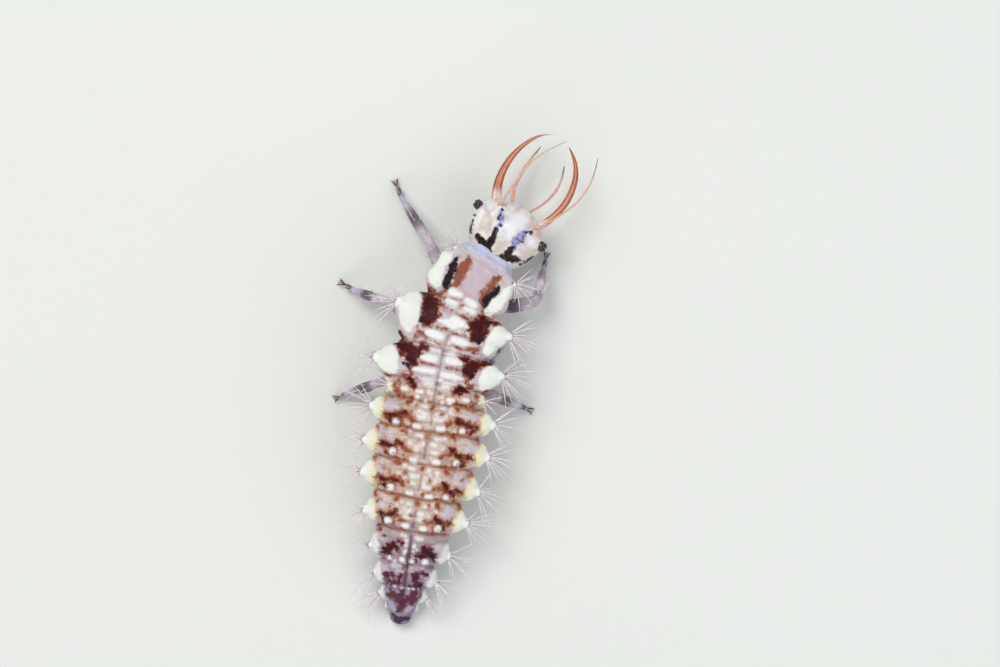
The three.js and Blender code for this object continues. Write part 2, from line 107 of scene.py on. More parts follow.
# The white knobs that carry the bristles: segment, the same places and reaches, radius, lift.
KNOBS = [
    ("abdomen_8", (0.42, 0.42), (0.57, 0.57), 0.06, 12),
    ("abdomen_7", (0.43, 0.47), (0.75, 0.75), 0.085, 12),
    ("abdomen_6", (0.39, 0.4), (0.98, 0.98), 0.1, 14),
    ("abdomen_5", (0.38, 0.43), (1.23, 1.27), 0.11, 14),
    ("abdomen_4", (0.45, 0.44), (1.43, 1.42), 0.115, 14),
    ("abdomen_3", (0.39, 0.5), (1.5, 1.49), 0.115, 14),
    ("abdomen_2", (0.55, 0.52), (1.47, 1.5), 0.11, 14),
    ("abdomen_1", (0.5, 0.5), (1.16, 1.18), 0.07, 16),
    ("metathorax", (0.44, 0.6), (1.61, 1.55), 0.13, 18),
    ("mesothorax", (0.62, 0.8), (1.48, 1.45), 0.13, 20),
    ("prothorax", (0.96, 0.95), (0.92, 0.99), 0.075, 28),
]
LOBE_ROUND = 0.75  # power of the lobes' rise, rounder when smaller
KNOB_BLEND = 0.04  # width of the fillet around a knob


def warp(values, power):
    """Raises numbers to a power and keeps their signs."""
    return np.sign(values) * np.abs(values) ** power


def rise(values, low, high):
    """A smooth step from 0 at low to 1 at high."""
    t = np.clip((values - low) / (high - low), 0, 1)
    return t * t * (3 - 2 * t)


def ridge(values, middle, width):
    """A smooth ridge, 1 at its middle."""
    return np.exp(-(((values - middle) / width) ** 2))


def unit(vectors):
    """Vectors brought to length 1."""
    return vectors / np.linalg.norm(vectors, axis=-1, keepdims=True)


class Curve:
    """A smooth centripetal curve through points, on which whole numbers are the points."""

    def __init__(self, points):
        inner = np.array(points, float)
        first = 2 * inner[0] - inner[1]
        last = 2 * inner[-1] - inner[-2]
        self.count = len(inner)
        self.points = np.vstack([first, inner, last])

    def at(self, places):
        """Points and unit tangents at places."""
        places = np.clip(np.atleast_1d(np.asarray(places, float)), 0, self.count - 1 - 1e-9)
        i = np.floor(places).astype(int)
        t = (places - i)[:, None]
        a, b, c, d = (self.points[i + k] for k in range(4))
        before, here, after = (
            np.sqrt(np.linalg.norm(q - p, axis=1, keepdims=True)) for p, q in ((a, b), (b, c), (c, d))
        )
        leave = ((b - a) / before - (c - a) / (before + here) + (c - b) / here) * here
        arrive = ((c - b) / here - (d - b) / (here + after) + (d - c) / after) * here
        square = -3 * b + 3 * c - 2 * leave - arrive
        cube = 2 * b - 2 * c + leave + arrive
        points = b + leave * t + square * t**2 + cube * t**3
        return points, unit(leave + 2 * square * t + 3 * cube * t**2)

    def shares(self, count):
        """Places spaced evenly along the curve's length."""
        fine = np.linspace(0, self.count - 1, 40 * self.count)
        steps = np.linalg.norm(np.diff(self.at(fine)[0], axis=0), axis=1)
        run = np.concatenate([[0], np.cumsum(steps)])
        return np.interp(np.linspace(0, run[-1], count), run, fine)


def spine_points():
    """The ends of the trunk's segments."""
    points = [np.array(TAIL_TIP)]
    for _, length, yaw, climb, _ in SEGMENTS:
        turn = math.radians(yaw)
        points.append(points[-1] + [length * math.sin(turn), length * math.cos(turn), climb])
    return points


SPINE = Curve(spine_points())
STATIONS = np.arange(len(SEGMENTS) + 2)
ARCS = np.cumsum([0] + [segment[1] for segment in SEGMENTS] + [NECK_TUCK])
SWELLS = np.array([segment[4] for segment in SEGMENTS])


def station_of(name, at):
    """The station of a place along a segment: 3.5 is the middle of the fourth."""
    return NAMES.index(name) + at


def arc_of(stations):
    """Length along the body from the tail, in plan."""
    return np.interp(stations, STATIONS, ARCS)


def body_frame(stations):
    """Point, forward, right and up of the spine at stations. The last station runs on into the head."""
    point, forward = SPINE.at(stations)
    beyond = np.clip(np.atleast_1d(stations) - len(SEGMENTS), 0, 1)[:, None]
    point = point + forward * beyond * NECK_TUCK
    right = unit(np.cross(forward, [0.0, 0.0, 1.0]))
    return point, forward, right, np.cross(right, forward)


def halves(stations):
    """Half width and half height of the trunk at stations."""
    ends = np.arange(len(SEGMENTS) + 1)
    inside = np.clip(stations, 0, len(SEGMENTS) - 1e-9)
    i = np.floor(inside).astype(int)
    swell = SWELLS[i] * np.sin(np.pi * (inside - i)) ** 0.8
    tuck = np.sqrt(1 - np.clip(stations - len(SEGMENTS), 0, 1) ** 2)
    return [(np.interp(inside, ends, sizes) + swell) * tuck for sizes in (HALF_WIDTHS, HALF_HEIGHTS)]


def strokes_depth(strokes, across, along):
    """How deep points lie inside the nearest of some strokes, less than 0 outside. A stroke is a line
    of points, each with its radius."""
    deepest = np.full(len(across), -1.0)
    for stroke in strokes:
        points = np.array(stroke if len(stroke) > 1 else [stroke[0], stroke[0]])
        low = (points[:, :2] - points[:, 2:]).min(0) - 0.2
        high = (points[:, :2] + points[:, 2:]).max(0) + 0.2
        near = (across > low[0]) & (across < high[0]) & (along > low[1]) & (along < high[1])
        x, y = across[near], along[near]
        depth = deepest[near]
        for start, end in zip(points[:-1], points[1:]):
            way = end - start
            length = max(way[0] ** 2 + way[1] ** 2, 1e-12)
            t = np.clip(((x - start[0]) * way[0] + (y - start[1]) * way[1]) / length, 0, 1)
            gap = np.hypot(x - start[0] - t * way[0], y - start[1] - t * way[1])
            depth = np.maximum(depth, start[2] + t * way[2] - gap)
        deepest[near] = depth
    return deepest


def plain(points):
    """Points of a mark in plain numbers. Tables give places in hundredths, radii in thousandths."""
    return [(x / 100, y / 100, radius / 1000) for x, y, radius in points]


def on_back(name, points, sides):
    """Strokes on some sides of a segment, from points of place along it, distance out as a share of its
    half width, and radius."""
    made = []
    for side in sides:
        line = []
        for at, out, radius in points:
            station = np.array([station_of(name, at)])
            line.append((side * out * halves(station)[0][0], arc_of(station)[0], radius))
        made.append(line)
    return made


# Markings. Each colour has strokes on the back: the segments that carry them, the sides, and the points
# of each stroke. A point is its place along the segment and its distance out, in hundredths of the
# segment's length and half width, and its radius in thousandths of a millimetre.
CHAINED = "abdomen_5 abdomen_4 abdomen_3 abdomen_2"
MARKS = {
    "rust": [
        (CHAINED, BOTH, [
            [(36, 95, 45), (40, 80, 65), (36, 66, 60), (50, 49, 75)],
            [(50, 49, 60), (40, 38, 55), (31, 30, 40)],
            [(30, 78, 40), (14, 70, 30), (7, 50, 20), (4, 20, 12)], [(20, 60, 105)],
            [(92, 0, 30), (84, 0, 30)], [(90, 97, 50), (80, 94, 35)], [(93, 43, 35), (88, 50, 30)],
        ]),
        ("abdomen_6", BOTH, [[(30, 82, 50), (40, 66, 80), (52, 48, 80), (38, 38, 50)]]),
        ("abdomen_1", BOTH, [
            [(53, 62, 50), (44, 80, 40), (20, 66, 50), (16, 42, 30)], [(60, 84, 40), (84, 80, 40)],
            [(98, 66, 50), (80, 44, 50)],
        ]),
        ("metathorax", BOTH, [
            [(12, 74, 50), (20, 56, 50), (34, 62, 40)], [(98, 50, 40), (99, 28, 20)],
            [(52, 42, 25), (51, 10, 18)],
        ]),
        ("mesothorax", BOTH, [
            [(10, 64, 40), (24, 66, 60), (18, 44, 50)],
            [(99, 66, 60), (90, 55, 50), (84, 30, 25), (82, 5, 15)], [(43, 34, 30), (42, 5, 20)],
            [(10, 40, 20), (9, 10, 15)],
        ]),
        ("prothorax", LEFT, [[(92, 50, 60), (78, 47, 110), (60, 45, 125), (38, 40, 110)]]),
        ("prothorax", RIGHT, [[(90, 60, 55), (80, 54, 80), (62, 49, 95), (38, 44, 80)]]),
        ("prothorax", BOTH, [
            [(38, 40, 60), (24, 44, 45), (3, 60, 50)], [(2, 90, 50), (5, 70, 40)],
            [(6, 4, 25), (3, 42, 25)],
        ]),
    ],
    "maroon": [
        (CHAINED, BOTH, [
            [(38, 88, 30), (38, 74, 45)], [(38, 64, 35), (48, 54, 45), (54, 47, 45)],
            [(24, 76, 20), (16, 72, 18)],
        ]),
        ("abdomen_6", BOTH, [[(30, 80, 50), (38, 66, 75), (56, 46, 70), (42, 40, 40)]]),
        ("abdomen_6", RIGHT, [[(38, 50, 50), (36, 20, 20)]]),
        ("abdomen_7", LEFT, [
            [(42, 84, 50), (48, 66, 55), (50, 50, 30)], [(66, 20, 25), (46, 20, 35), (30, 24, 30)],
        ]),
        ("abdomen_7", RIGHT, [[(72, 40, 60), (50, 44, 70), (30, 50, 60), (26, 70, 60)]]),
        ("abdomen_8", BOTH, [[(62, 50, 40), (50, 30, 50), (34, 0, 60)]]),
        ("abdomen_8", RIGHT, [[(70, 56, 60), (30, 50, 70)]]),
        ("abdomen_8", BOTH, [[(10, 0, 100)]]),
        ("abdomen_9", BOTH, [[(96, 10, 70), (80, 0, 60), (45, 0, 30)]]),
        ("abdomen_1", BOTH, [[(98, 60, 50), (88, 52, 85), (84, 42, 50)]]),
        ("metathorax", LEFT, [[(86, 102, 70), (82, 85, 110), (76, 66, 130), (74, 50, 80)]]),
        ("metathorax", RIGHT, [[(90, 84, 60), (84, 74, 100), (74, 64, 120), (70, 48, 70)]]),
        ("metathorax", BOTH, [
            [(70, 68, 120), (54, 58, 130), (44, 60, 80)], [(86, 50, 70), (88, 32, 40)],
        ]),
        ("mesothorax", BOTH, [
            [(92, 84, 60), (82, 72, 120), (72, 58, 150), (62, 38, 50)],
            [(70, 70, 140), (56, 58, 140), (44, 52, 90)], [(94, 66, 70), (84, 60, 100)],
        ]),
        ("metathorax", BOTH, [[(96, 100, 100)], [(5, 100, 60)]]),
        ("mesothorax", BOTH, [[(98, 100, 70)]]),
    ],
    "ink": [
        ("mesothorax", BOTH, [[(44, 66, 60), (46, 74, 40)]]),
        ("metathorax", BOTH, [[(44, 66, 55), (46, 74, 35)]]),
        ("prothorax", LEFT, [[(74, 80, 45), (60, 72, 90), (44, 65, 85), (26, 58, 90)]]),
        ("prothorax", RIGHT, [[(70, 70, 40), (55, 65, 75), (38, 61, 75), (24, 57, 75)]]),
        ("prothorax", BOTH, [[(98, 112, 20)], [(90, 106, 20)]]),
        ("abdomen_6", BOTH, [[(36, 70, 40), (33, 80, 25)]]),
        ("abdomen_7", LEFT, [[(38, 82, 30)]]),
        ("abdomen_7", RIGHT, [[(30, 68, 35)]]),
        ("abdomen_10", BOTH, [[(62, 60, 60), (60, 0, 70)]]),
        (CHAINED, BOTH, [[(20, 60, 6)]]),
    ],
    "pale": [
        (CHAINED, BOTH, [[(20, 60, 75)], [(12, 18, 55), (13, 25, 55)]]),
        ("abdomen_6", BOTH, [[(14, 20, 50)], [(16, 56, 60)]]),
        ("abdomen_7", BOTH, [[(8, 20, 35)], [(10, 45, 35)]]),
        ("abdomen_1", BOTH, [
            [(42, 26, 55), (42, 34, 45)], [(52, 58, 55), (53, 64, 55)], [(40, 86, 50)], [(12, 16, 40)],
            [(10, 34, 45)],
        ]),
        ("metathorax", BOTH, [
            [(33, 10, 60), (32, 30, 75), (30, 48, 40)], [(71, 12, 75), (71, 26, 85), (68, 38, 40)],
        ]),
        ("mesothorax", BOTH, [
            [(26, 13, 75), (26, 28, 100), (26, 42, 60)], [(62, 0, 130), (60, 18, 75), (58, 34, 20)],
        ]),
        ("prothorax", BOTH, [[(16, 12, 75), (14, 34, 85)], [(2, 12, 45), (1, 38, 55)]]),
    ],
    "cloud": [
        (CHAINED, BOTH, [
            [(44, 10, 45), (44, 20, 50)], [(56, 30, 50)], [(62, 10, 50), (62, 15, 50)],
            [(86, 14, 55), (87, 20, 45)], [(90, 33, 50)], [(66, 46, 50)],
        ]),
        ("abdomen_6", BOTH, [[(44, 14, 50)], [(62, 14, 45)], [(85, 16, 45), (86, 26, 45)]]),
        ("abdomen_1", BOTH, [[(93, 10, 50), (93, 22, 55)], [(46, 10, 45), (46, 16, 45)]]),
        ("metathorax", BOTH, [[(6, 10, 45), (6, 30, 50)], [(90, 10, 50), (92, 30, 50)]]),
        ("mesothorax", BOTH, [[(95, 16, 60), (96, 34, 60)], [(86, 10, 50)], [(6, 20, 50), (5, 40, 50)]]),
    ],
    "satin": [
        ("prothorax", BOTH, [[(84, 0, 240), (60, 0, 270), (38, 0, 240)], [(90, 30, 100), (62, 12, 160)]]),
    ],
    "mist": [
        (CHAINED, BOTH, [[(66, 74, 140), (70, 84, 120)]]),
        ("abdomen_6", BOTH, [[(66, 80, 120)]]),
        ("abdomen_7", BOTH, [[(72, 80, 90)]]),
        ("metathorax", BOTH, [
            [(95, 12, 40), (94, 44, 50)], [(98, 80, 80)], [(10, 20, 60), (12, 50, 50)],
        ]),
        ("mesothorax", BOTH, [
            [(46, 20, 40), (80, 25, 50)], [(2, 16, 50), (3, 46, 60)], [(6, 72, 90)], [(12, 90, 80)],
        ]),
        ("abdomen_7", BOTH, [[(95, 10, 40), (92, 50, 50)], [(80, 0, 50), (80, 30, 40)]]),
        ("abdomen_9", BOTH, [[(90, 75, 60), (50, 55, 70), (20, 20, 60), (16, 0, 50)]]),
        ("abdomen_8", BOTH, [[(80, 20, 30), (80, 80, 40), (40, 85, 50)]]),
        ("prothorax", BOTH, [[(90, 20, 60), (92, 50, 40)]]),
    ],
    "tan": [
        ("prothorax", BOTH, [[(88, 68, 50), (84, 76, 50)]]),
    ],
    "vein": [
        (CHAINED, BOTH, [[(22, 0, 25), (70, 0, 27)]]),
        ("abdomen_5", BOTH, [[(30, 0, 40), (20, 0, 50)]]),
        ("abdomen_6", BOTH, [[(14, 0, 60), (34, 0, 55), (60, 0, 30), (90, 0, 40)]]),
        ("abdomen_7", BOTH, [[(28, 0, 45), (66, 0, 55), (95, 0, 35)]]),
        ("abdomen_8", BOTH, [[(60, 0, 40), (95, 0, 40)]]),
        ("abdomen_1", BOTH, [[(5, 0, 25), (90, 0, 27)]]),
        ("metathorax", BOTH, [[(5, 0, 20), (55, 0, 30), (95, 0, 40)]]),
        ("mesothorax", BOTH, [[(5, 0, 22), (38, 0, 45)]]),
    ],
}
# The white of the lobes in front, in strokes like those of the marks. Behind, it is the whole lobe.
WHITES = [
    ("metathorax", LEFT, [[(66, 116, 200), (48, 110, 290), (26, 100, 210)]]),
    ("metathorax", RIGHT, [[(76, 114, 200), (58, 108, 280), (34, 97, 210), (12, 94, 100)]]),
    ("mesothorax", LEFT, [[(88, 120, 140), (69, 110, 280), (42, 94, 240), (22, 86, 100)]]),
    ("mesothorax", RIGHT, [[(92, 130, 120), (78, 114, 240), (50, 99, 210), (26, 88, 130)]]),
    ("prothorax", LEFT, [
        [(92, 112, 70), (66, 106, 180), (50, 102, 130)], [(44, 98, 140), (29, 94, 200), (18, 80, 120)],
    ]),
    ("prothorax", RIGHT, [
        [(88, 112, 80), (68, 98, 150), (54, 92, 130)], [(50, 88, 140), (38, 84, 170), (16, 73, 130)],
    ]),
]
WHITES_FROM = station_of("abdomen_1", 0.9)
MARK_SEED = 3
MARK_FADE = 0.7  # how fast marks end down the sides
MARK_SPREAD = 0.022  # how far the points of a mark stray from one segment to the next
# Small flecks scattered on the back: colour, segments, number on each, farthest out, and radius.
FLECKS = [
    ("cloud", CHAINED + " abdomen_6", 8, 0.5, 0.045),
    ("rust", CHAINED, 12, 0.85, 0.018),
    ("cloud", "metathorax mesothorax", 7, 0.45, 0.045),
    ("rust", "metathorax mesothorax abdomen_1", 7, 0.8, 0.016),
    ("maroon", "abdomen_6 abdomen_7 abdomen_8", 12, 0.9, 0.024),
]
# Stations where the colours of the trunk change.
COLLAR_FROM = station_of("neck", 0.3)
DUSKY_TO = station_of("abdomen_5", 0.2)
DEEP_TO = station_of("abdomen_7", 0.5)
FRONT_FROM = station_of("abdomen_1", 0.7)
YELLOW_TO = station_of("abdomen_1", 0.6)  # the lobes in front of this are whiter

# Creases across the back inside each segment.
CREASES = {
    "abdomen_7": (0.3, 0.76),
    "abdomen_6": (0.28, 0.74),
    "abdomen_5": (0.28, 0.74),
    "abdomen_4": (0.28, 0.74),
    "abdomen_3": (0.28, 0.74),
    "abdomen_2": (0.28, 0.76),
    "abdomen_1": (0.66,),
    "metathorax": (0.18, 0.52, 0.88),
    "mesothorax": (0.12, 0.42, 0.8),
    "prothorax": (0.1, 0.26),
}
# Relief of the marks: depth inside a mark where it starts, depth where it is full, and its height.
RELIEF = {
    "pale": (-0.02, 0.06, 0.04),
    "cloud": (-0.03, 0.06, 0.025),
    "mist": (-0.03, 0.12, 0.05),
    "maroon": (0.0, 0.04, -0.01),
}
NECK_GROOVE = 0.3  # depth of the grooves at the neck, as a share of the others
GROOVE_WIDTH = 0.05
GROOVE_DEPTH = 0.07
CREASE_WIDTH = 0.03
CREASE_DEPTH = 0.036
FURROWS = ((0.0, 0.05, 0.6), (0.47, 0.05, 0.5), (0.9, 0.06, 0.8))  # place out, width and depth
FLANK_FOLD = (0.45, 0.1, 0.03)  # angle below the side, width and depth
WANDER = ((0.018, 9, 2.3), (0.012, 23, -5))  # how grooves waver: how far, waves across and along
WRINKLE = 0.008  # height of the fine wrinkles
COLLAR_RIPPLE = 0.03  # height of the folds behind the head

# Head, measured from the point between the eyes: y forward, then half width and half height.
HEAD_PITCH = -5
HEAD_YAW = 21.5
HEAD_BACK = 0.77  # from the neck's end forward to the point between the eyes
HEAD_OUTLINE = [
    (-0.72, 0.58, 0.33), (-0.56, 0.71, 0.38), (-0.28, 0.82, 0.41), (0.0, 0.85, 0.39), (0.2, 0.78, 0.33),
    (0.34, 0.65, 0.25), (0.44, 0.5, 0.17), (0.5, 0.34, 0.11),
]
HEAD_CURVE = Curve([(w, y, h) for y, w, h in HEAD_OUTLINE])
HEAD_SQUARENESS = (0.9, 0.85)  # as the trunk's, across and upward
HEAD_CHIN = 0.9  # height of the underside as a share of the top's
HEAD_CAP = 0.1  # share of the head's faces that close each end
HEAD_BULGE = 0.05
# Swellings of both sides of the head: across, forward, half width, half length, height.
HEAD_SWELLINGS = [
    (0.0, 0.08, 0.3, 0.34, 0.06), (0.53, -0.2, 0.17, 0.26, 0.035), (0.8, 0.02, 0.13, 0.16, 0.06),
    (0.56, 0.34, 0.1, 0.08, 0.06), (0.3, 0.4, 0.09, 0.05, 0.04), (0.1, 0.44, 0.09, 0.04, 0.03),
    (0.3, -0.56, 0.16, 0.1, 0.03),
]
SOCKET = (0.47, 0.2, 0.1)  # the feelers' sockets: across, forward and radius
SOCKET_RIM = (0.035, 0.04)  # width and height
EYE = (0.83, 0.04, 0.17)  # across, forward and up
EYE_OUTWARD = (0.75, 0, 0.66)
# Lenses of an eye: forward and over from its middle.
EYE_LENSES = [
    (0, 0), (0.075, 0.01), (-0.07, 0.0), (0.038, -0.06), (-0.034, -0.055), (0.036, 0.062), (-0.04, 0.06),
]
EYE_LENS = 0.035  # radius
EYE_MOUND = 0.095  # radius
EYE_STRETCH = 1.25  # length of the mound as a share of its width
EYE_FACES = (28, 18)  # round and over each lens
# Marks of the head: points across and forward in hundredths of a millimetre, radius in thousandths.
HEAD_MARKS = {
    "ink": [
        [(-49, -55, 50), (-36, -61, 85), (-18, -65, 100), (-5, -71, 50)],
        [(-21, -22, 55), (-17, -42, 80), (-16, -60, 100)], [(-18, -9, 45)], [(-34, 24, 30)],
        [(-32, 13, 22), (-30, 0, 28)], [(14, -70, 30), (30, -61, 90), (45, -56, 90), (57, -50, 55)],
        [(30, -50, 100), (30, -37, 55)], [(-76, -30, 20), (-70, -48, 26), (-64, -58, 24)],
        [(80, -24, 20), (74, -42, 30), (66, -56, 25)], [(39, 10, 35)],
    ],
    "maroon": [[(47, 16, 52)], [(57, 36, 30)], [(-78, -20, 30)], [(-41, 37, 20)], [(43, -12, 30)]],
    "blue": [
        [(-34, 22, 40), (-26, 7, 60), (-20, -6, 60), (-20, -20, 50)],
        [(31, -38, 70), (31, -20, 100), (33, -6, 100), (38, 10, 60)],
    ],
    "tan": [
        [(6, -64, 60), (8, -50, 110), (10, -38, 70)], [(-50, -32, 120), (-53, -8, 100)], [(1, -15, 50)],
        [(62, -30, 130), (74, -14, 80)], [(-33, -46, 50)],
    ],
    # The white of the forehead and other white patches, with white spots that are painted highlights on
    # the glossy shell.
    "shine": [
        [(12, 26, 160), (4, 2, 150), (10, -16, 80)], [(60, 0, 90)], [(-45, 6, 50), (-42, 24, 50)],
        [(-70, -14, 40), (-62, -40, 40)], [(-60, 16, 70)],
    ],
    "rosy": [[(50, 30, 100), (60, 20, 80)], [(-56, 36, 80)], [(72, 20, 60)]],
}
HEAD_RELIEF = {"shine": 0.014, "ink": -0.012, "blue": -0.016}

# Jaws, feelers and palps as curves in the head's axes, in hundredths of a millimetre, and their radii
# at shares of the length.
JAWS = {
    "jaw_right": [
        (44, 12, -2), (53, 36, -2), (68, 72, -2), (75, 109, -2), (72, 146, -1), (60, 181, 1),
        (37, 209, 4), (12, 224, 7),
    ],
    "jaw_left": [
        (-46, 12, -2), (-57, 36, -2), (-75, 72, -2), (-82, 109, -2), (-81, 146, -1), (-71, 182, 1),
        (-50, 217, 4), (-22, 231, 7),
    ],
}
JAW_RADII = [
    (0, 0.14), (0.1, 0.135), (0.2, 0.112), (0.35, 0.092), (0.55, 0.077), (0.75, 0.061), (0.9, 0.042),
    (0.97, 0.027), (1, 0.012),
]
JAW_GROOVE = 0.16  # depth of the seam along the jaw, as a share of its radius
JAW_SEAM = (-0.12, 0.2)  # middle of the seam and its width, as shares of the radius
JAW_FLATNESS = 0.78
ANTENNAE = {
    "antenna_right": [
        (46, 12, 14), (58, 38, 36), (82, 86, 52), (96, 130, 55), (97, 175, 54), (89, 210, 52),
        (79, 236, 50),
    ],
    "antenna_left": [
        (-42, 12, 14), (-44, 40, 36), (-43, 86, 52), (-41, 130, 55), (-30, 170, 54), (-13, 203, 52),
        (3, 230, 50),
    ],
}
ANTENNA_RADII = [
    (0, 0.065), (0.11, 0.065), (0.15, 0.05), (0.17, 0.036), (0.2, 0.034), (0.55, 0.031), (0.57, 0.026),
    (0.84, 0.023), (0.86, 0.015), (0.97, 0.01), (1, 0.004),
]
PALPS = {
    "palp_right": [
        (10, 28, -16), (20, 58, -26), (34, 88, -32), (41, 120, -34), (40, 152, -34), (27, 188, -32),
    ],
    "palp_left": [
        (-12, 28, -16), (-27, 58, -26), (-39, 88, -32), (-43, 120, -34), (-44, 152, -34), (-40, 196, -32),
    ],
}
FEELER_RINGS = 36  # at least so many
JAW_RINGS = 15
LIMB_SIDES = 12  # before smoothing
CLAW_SIDES = 8
CURVE_STEPS = 201  # fineness of a limb's curve
PALP_RADII = [
    (0, 0.065), (0.12, 0.065), (0.2, 0.04), (0.32, 0.045), (0.34, 0.036), (0.68, 0.042), (0.7, 0.03),
    (0.9, 0.024), (0.98, 0.014), (1, 0.004),
]

# Legs: the segment that carries each, and the plan places of its hip, knee, ankle and toe.
LEGS = {
    "leg_front_left": ("prothorax", (-0.6, 3.36), (-1.06, 3.98), (-1.88, 4.84), (-2.06, 5.1)),
    "leg_front_right": ("prothorax", (0.8, 2.94), (1.5, 3.24), (1.51, 3.96), (1.51, 4.2)),
    "leg_middle_left": ("mesothorax", (-0.88, 2.28), (-1.65, 2.52), (-2.52, 2.64), (-2.74, 2.71)),
    "leg_middle_right": ("mesothorax", (0.5, 2.04), (0.98, 2.44), (0.84, 1.84), (0.8, 1.62)),
    "leg_hind_left": ("metathorax", (-0.86, 1.1), (-1.5, 0.76), (-2.14, 0.4), (-2.33, 0.27)),
    "leg_hind_right": ("metathorax", (0.46, 1.1), (1.08, 0.98), (1.56, 0.9), (1.78, 0.86)),
}
LEG_HEIGHTS = (0.6, 0.92, 0.27, 0.1)  # of the same four over the floor
LEG_ROOT_AT = 0.42  # place of the root along its segment
LEG_ROOT_ANGLE = 50  # degrees below the side
LEG_ROOT_DEPTH = 0.75  # share of the way out to the skin
JOINT_ENDS = (0.05, 0.96)  # rings before and after these shares of a part turn with the joint
# Rings of a leg: the joint before, the share of the way to the next joint, and the radius.
LEG_RINGS = [
    (0, 0.0, 0.2), (0, 0.55, 0.2), (0, 0.86, 0.165), (1, 0.0, 0.14), (1, 0.1, 0.13), (1, 0.16, 0.15),
    (1, 0.45, 0.168), (1, 0.8, 0.15), (1, 0.95, 0.125), (2, 0.02, 0.118), (2, 0.09, 0.112),
    (2, 0.3, 0.128), (2, 0.62, 0.118), (2, 0.9, 0.088), (2, 0.97, 0.078), (3, 0.06, 0.062),
    (3, 0.3, 0.066), (3, 0.8, 0.056), (3, 1.0, 0.04),
]
# Dark bands of the legs: where each lies along its leg, its half length, its strength, and how far it
# reaches round from the top, 1 for all round.
LEG_BANDS = {
    "leg_front_left": [(0.34, 0.05, 0.35, 1.0), (0.66, 0.12, 0.8, 0.5), (0.96, 0.06, 1.0, 1.0)],
    "leg_front_right": [
        (0.3, 0.08, 0.85, 1.0), (0.56, 0.05, 0.5, 0.6), (0.8, 0.08, 0.5, 1.0), (0.97, 0.05, 1.0, 1.0),
    ],
    "leg_middle_left": [(0.34, 0.06, 0.5, 1.0), (0.7, 0.08, 0.9, 0.9), (0.96, 0.06, 0.9, 1.0)],
    "leg_middle_right": [(0.34, 0.06, 0.5, 1.0), (0.68, 0.08, 0.9, 0.9), (0.96, 0.06, 0.9, 1.0)],
    "leg_hind_left": [(0.3, 0.06, 0.5, 1.0), (0.66, 0.13, 0.9, 1.0), (0.97, 0.05, 0.8, 1.0)],
    "leg_hind_right": [(0.32, 0.1, 0.45, 1.0), (0.6, 0.11, 0.9, 1.0), (0.97, 0.06, 1.0, 1.0)],
}
BLUE_FROM = 0.78  # how far along a leg its blue end begins
CLAW_SPREAD = 24  # degrees
# Rings of claws and soles: distance out from the toe, height over the floor, and radius.
CLAW_RINGS = [
    (-0.02, 0.09, 0.03), (0.05, 0.11, 0.024), (0.11, 0.11, 0.017), (0.16, 0.085, 0.012),
    (0.19, 0.045, 0.007), (0.195, 0.012, 0.002),
]
PAD_RINGS = [
    (0.0, 0.09, 0.026), (0.06, 0.06, 0.02), (0.1, 0.03, 0.034), (0.11, 0.012, 0.062), (0.11, 0.0, 0.066),
]

# Bristles on the knobs, tail to neck: number, length, and how far they lean forward.
TUFTS = [
    (6, 0.8, -0.9), (8, 0.85, -0.6), (9, 0.85, -0.35), (9, 0.8, -0.25), (9, 0.75, -0.15), (9, 0.75, -0.1),
    (8, 0.75, -0.05), (5, 0.4, 0.0), (12, 0.85, 0.05), (12, 0.85, 0.2), (11, 0.6, 0.35),
]
BRISTLE_RADIUS = 0.014
BRISTLE_TAPER = ((0, 0.04, 0.1, 0.6, 1), (1.7, 1.3, 1.0, 0.75, 0.15))  # radii at shares of the length
FAN = 1.2  # half the spread of a knob's bristles, radians
THIN_UNDER = 0.25  # bristles of the body shorter than this are thin
THIN = 0.4  # their radius as a share of the long ones', and then that of the legs' bristles
LEG_BRISTLE = 0.5
SHORT_BRISTLES = ((0.2, 0.6), (0.7, 0.78))  # places along a segment, and distances out
BRISTLES_ON_LEG = 44
BRISTLE_SIDES = 5
BRISTLE_RINGS = 8
FLOOR_GAP = 0.06  # how far the tips of bristles stay over the floor
BRISTLE_TOP = 1.9  # and no higher than the back

# Lights of the stage: place and side, metres, and colour.
LIGHTS = {
    "key_light": ((-0.12, 0.1, 0.22), 0.16, (1.0, 0.98, 0.95)),
    "fill_light": ((0.16, -0.06, 0.14), 0.2, (0.95, 0.97, 1.0)),
    "low_light": ((-0.04, -0.2, 0.09), 0.12, (1.0, 0.97, 0.93)),
}
LOW_SHARE = 0.5  # power of the low light as a share of the fill light's
ROOM = (0.9, 0.93, 0.95)  # colour of the light from all around
ROOM_STRENGTH = 0.41
FLOOR_SIDE = 1.2  # metres
FLOOR_GRAIN = 40.0  # mm
CAMERA_OVER = (0.001241, 0.001104)  # the picture's middle, on the frame's axes, metres
CAMERA_TURN = 12  # degrees from the frame's axes to the picture's
CAMERA_SENSOR = 36  # width, mm
CAMERA_CLIP = (0.001, 10)
BACK_HEIGHT = 0.0009  # height that the picture's width is measured at, metres


def tint(name, description, *colour):
    """A colour to choose."""
    return FloatVectorProperty(name=name, description=description, subtype="COLOR", default=colour)


def measure(name, description, millimetres):
    """A length to choose."""
    return FloatProperty(name=name, description=description, default=millimetres * MM, unit="LENGTH")


def power(name, description, watts):
    """A light's power to choose."""
    return FloatProperty(name=name, description=description, default=watts, unit="POWER")


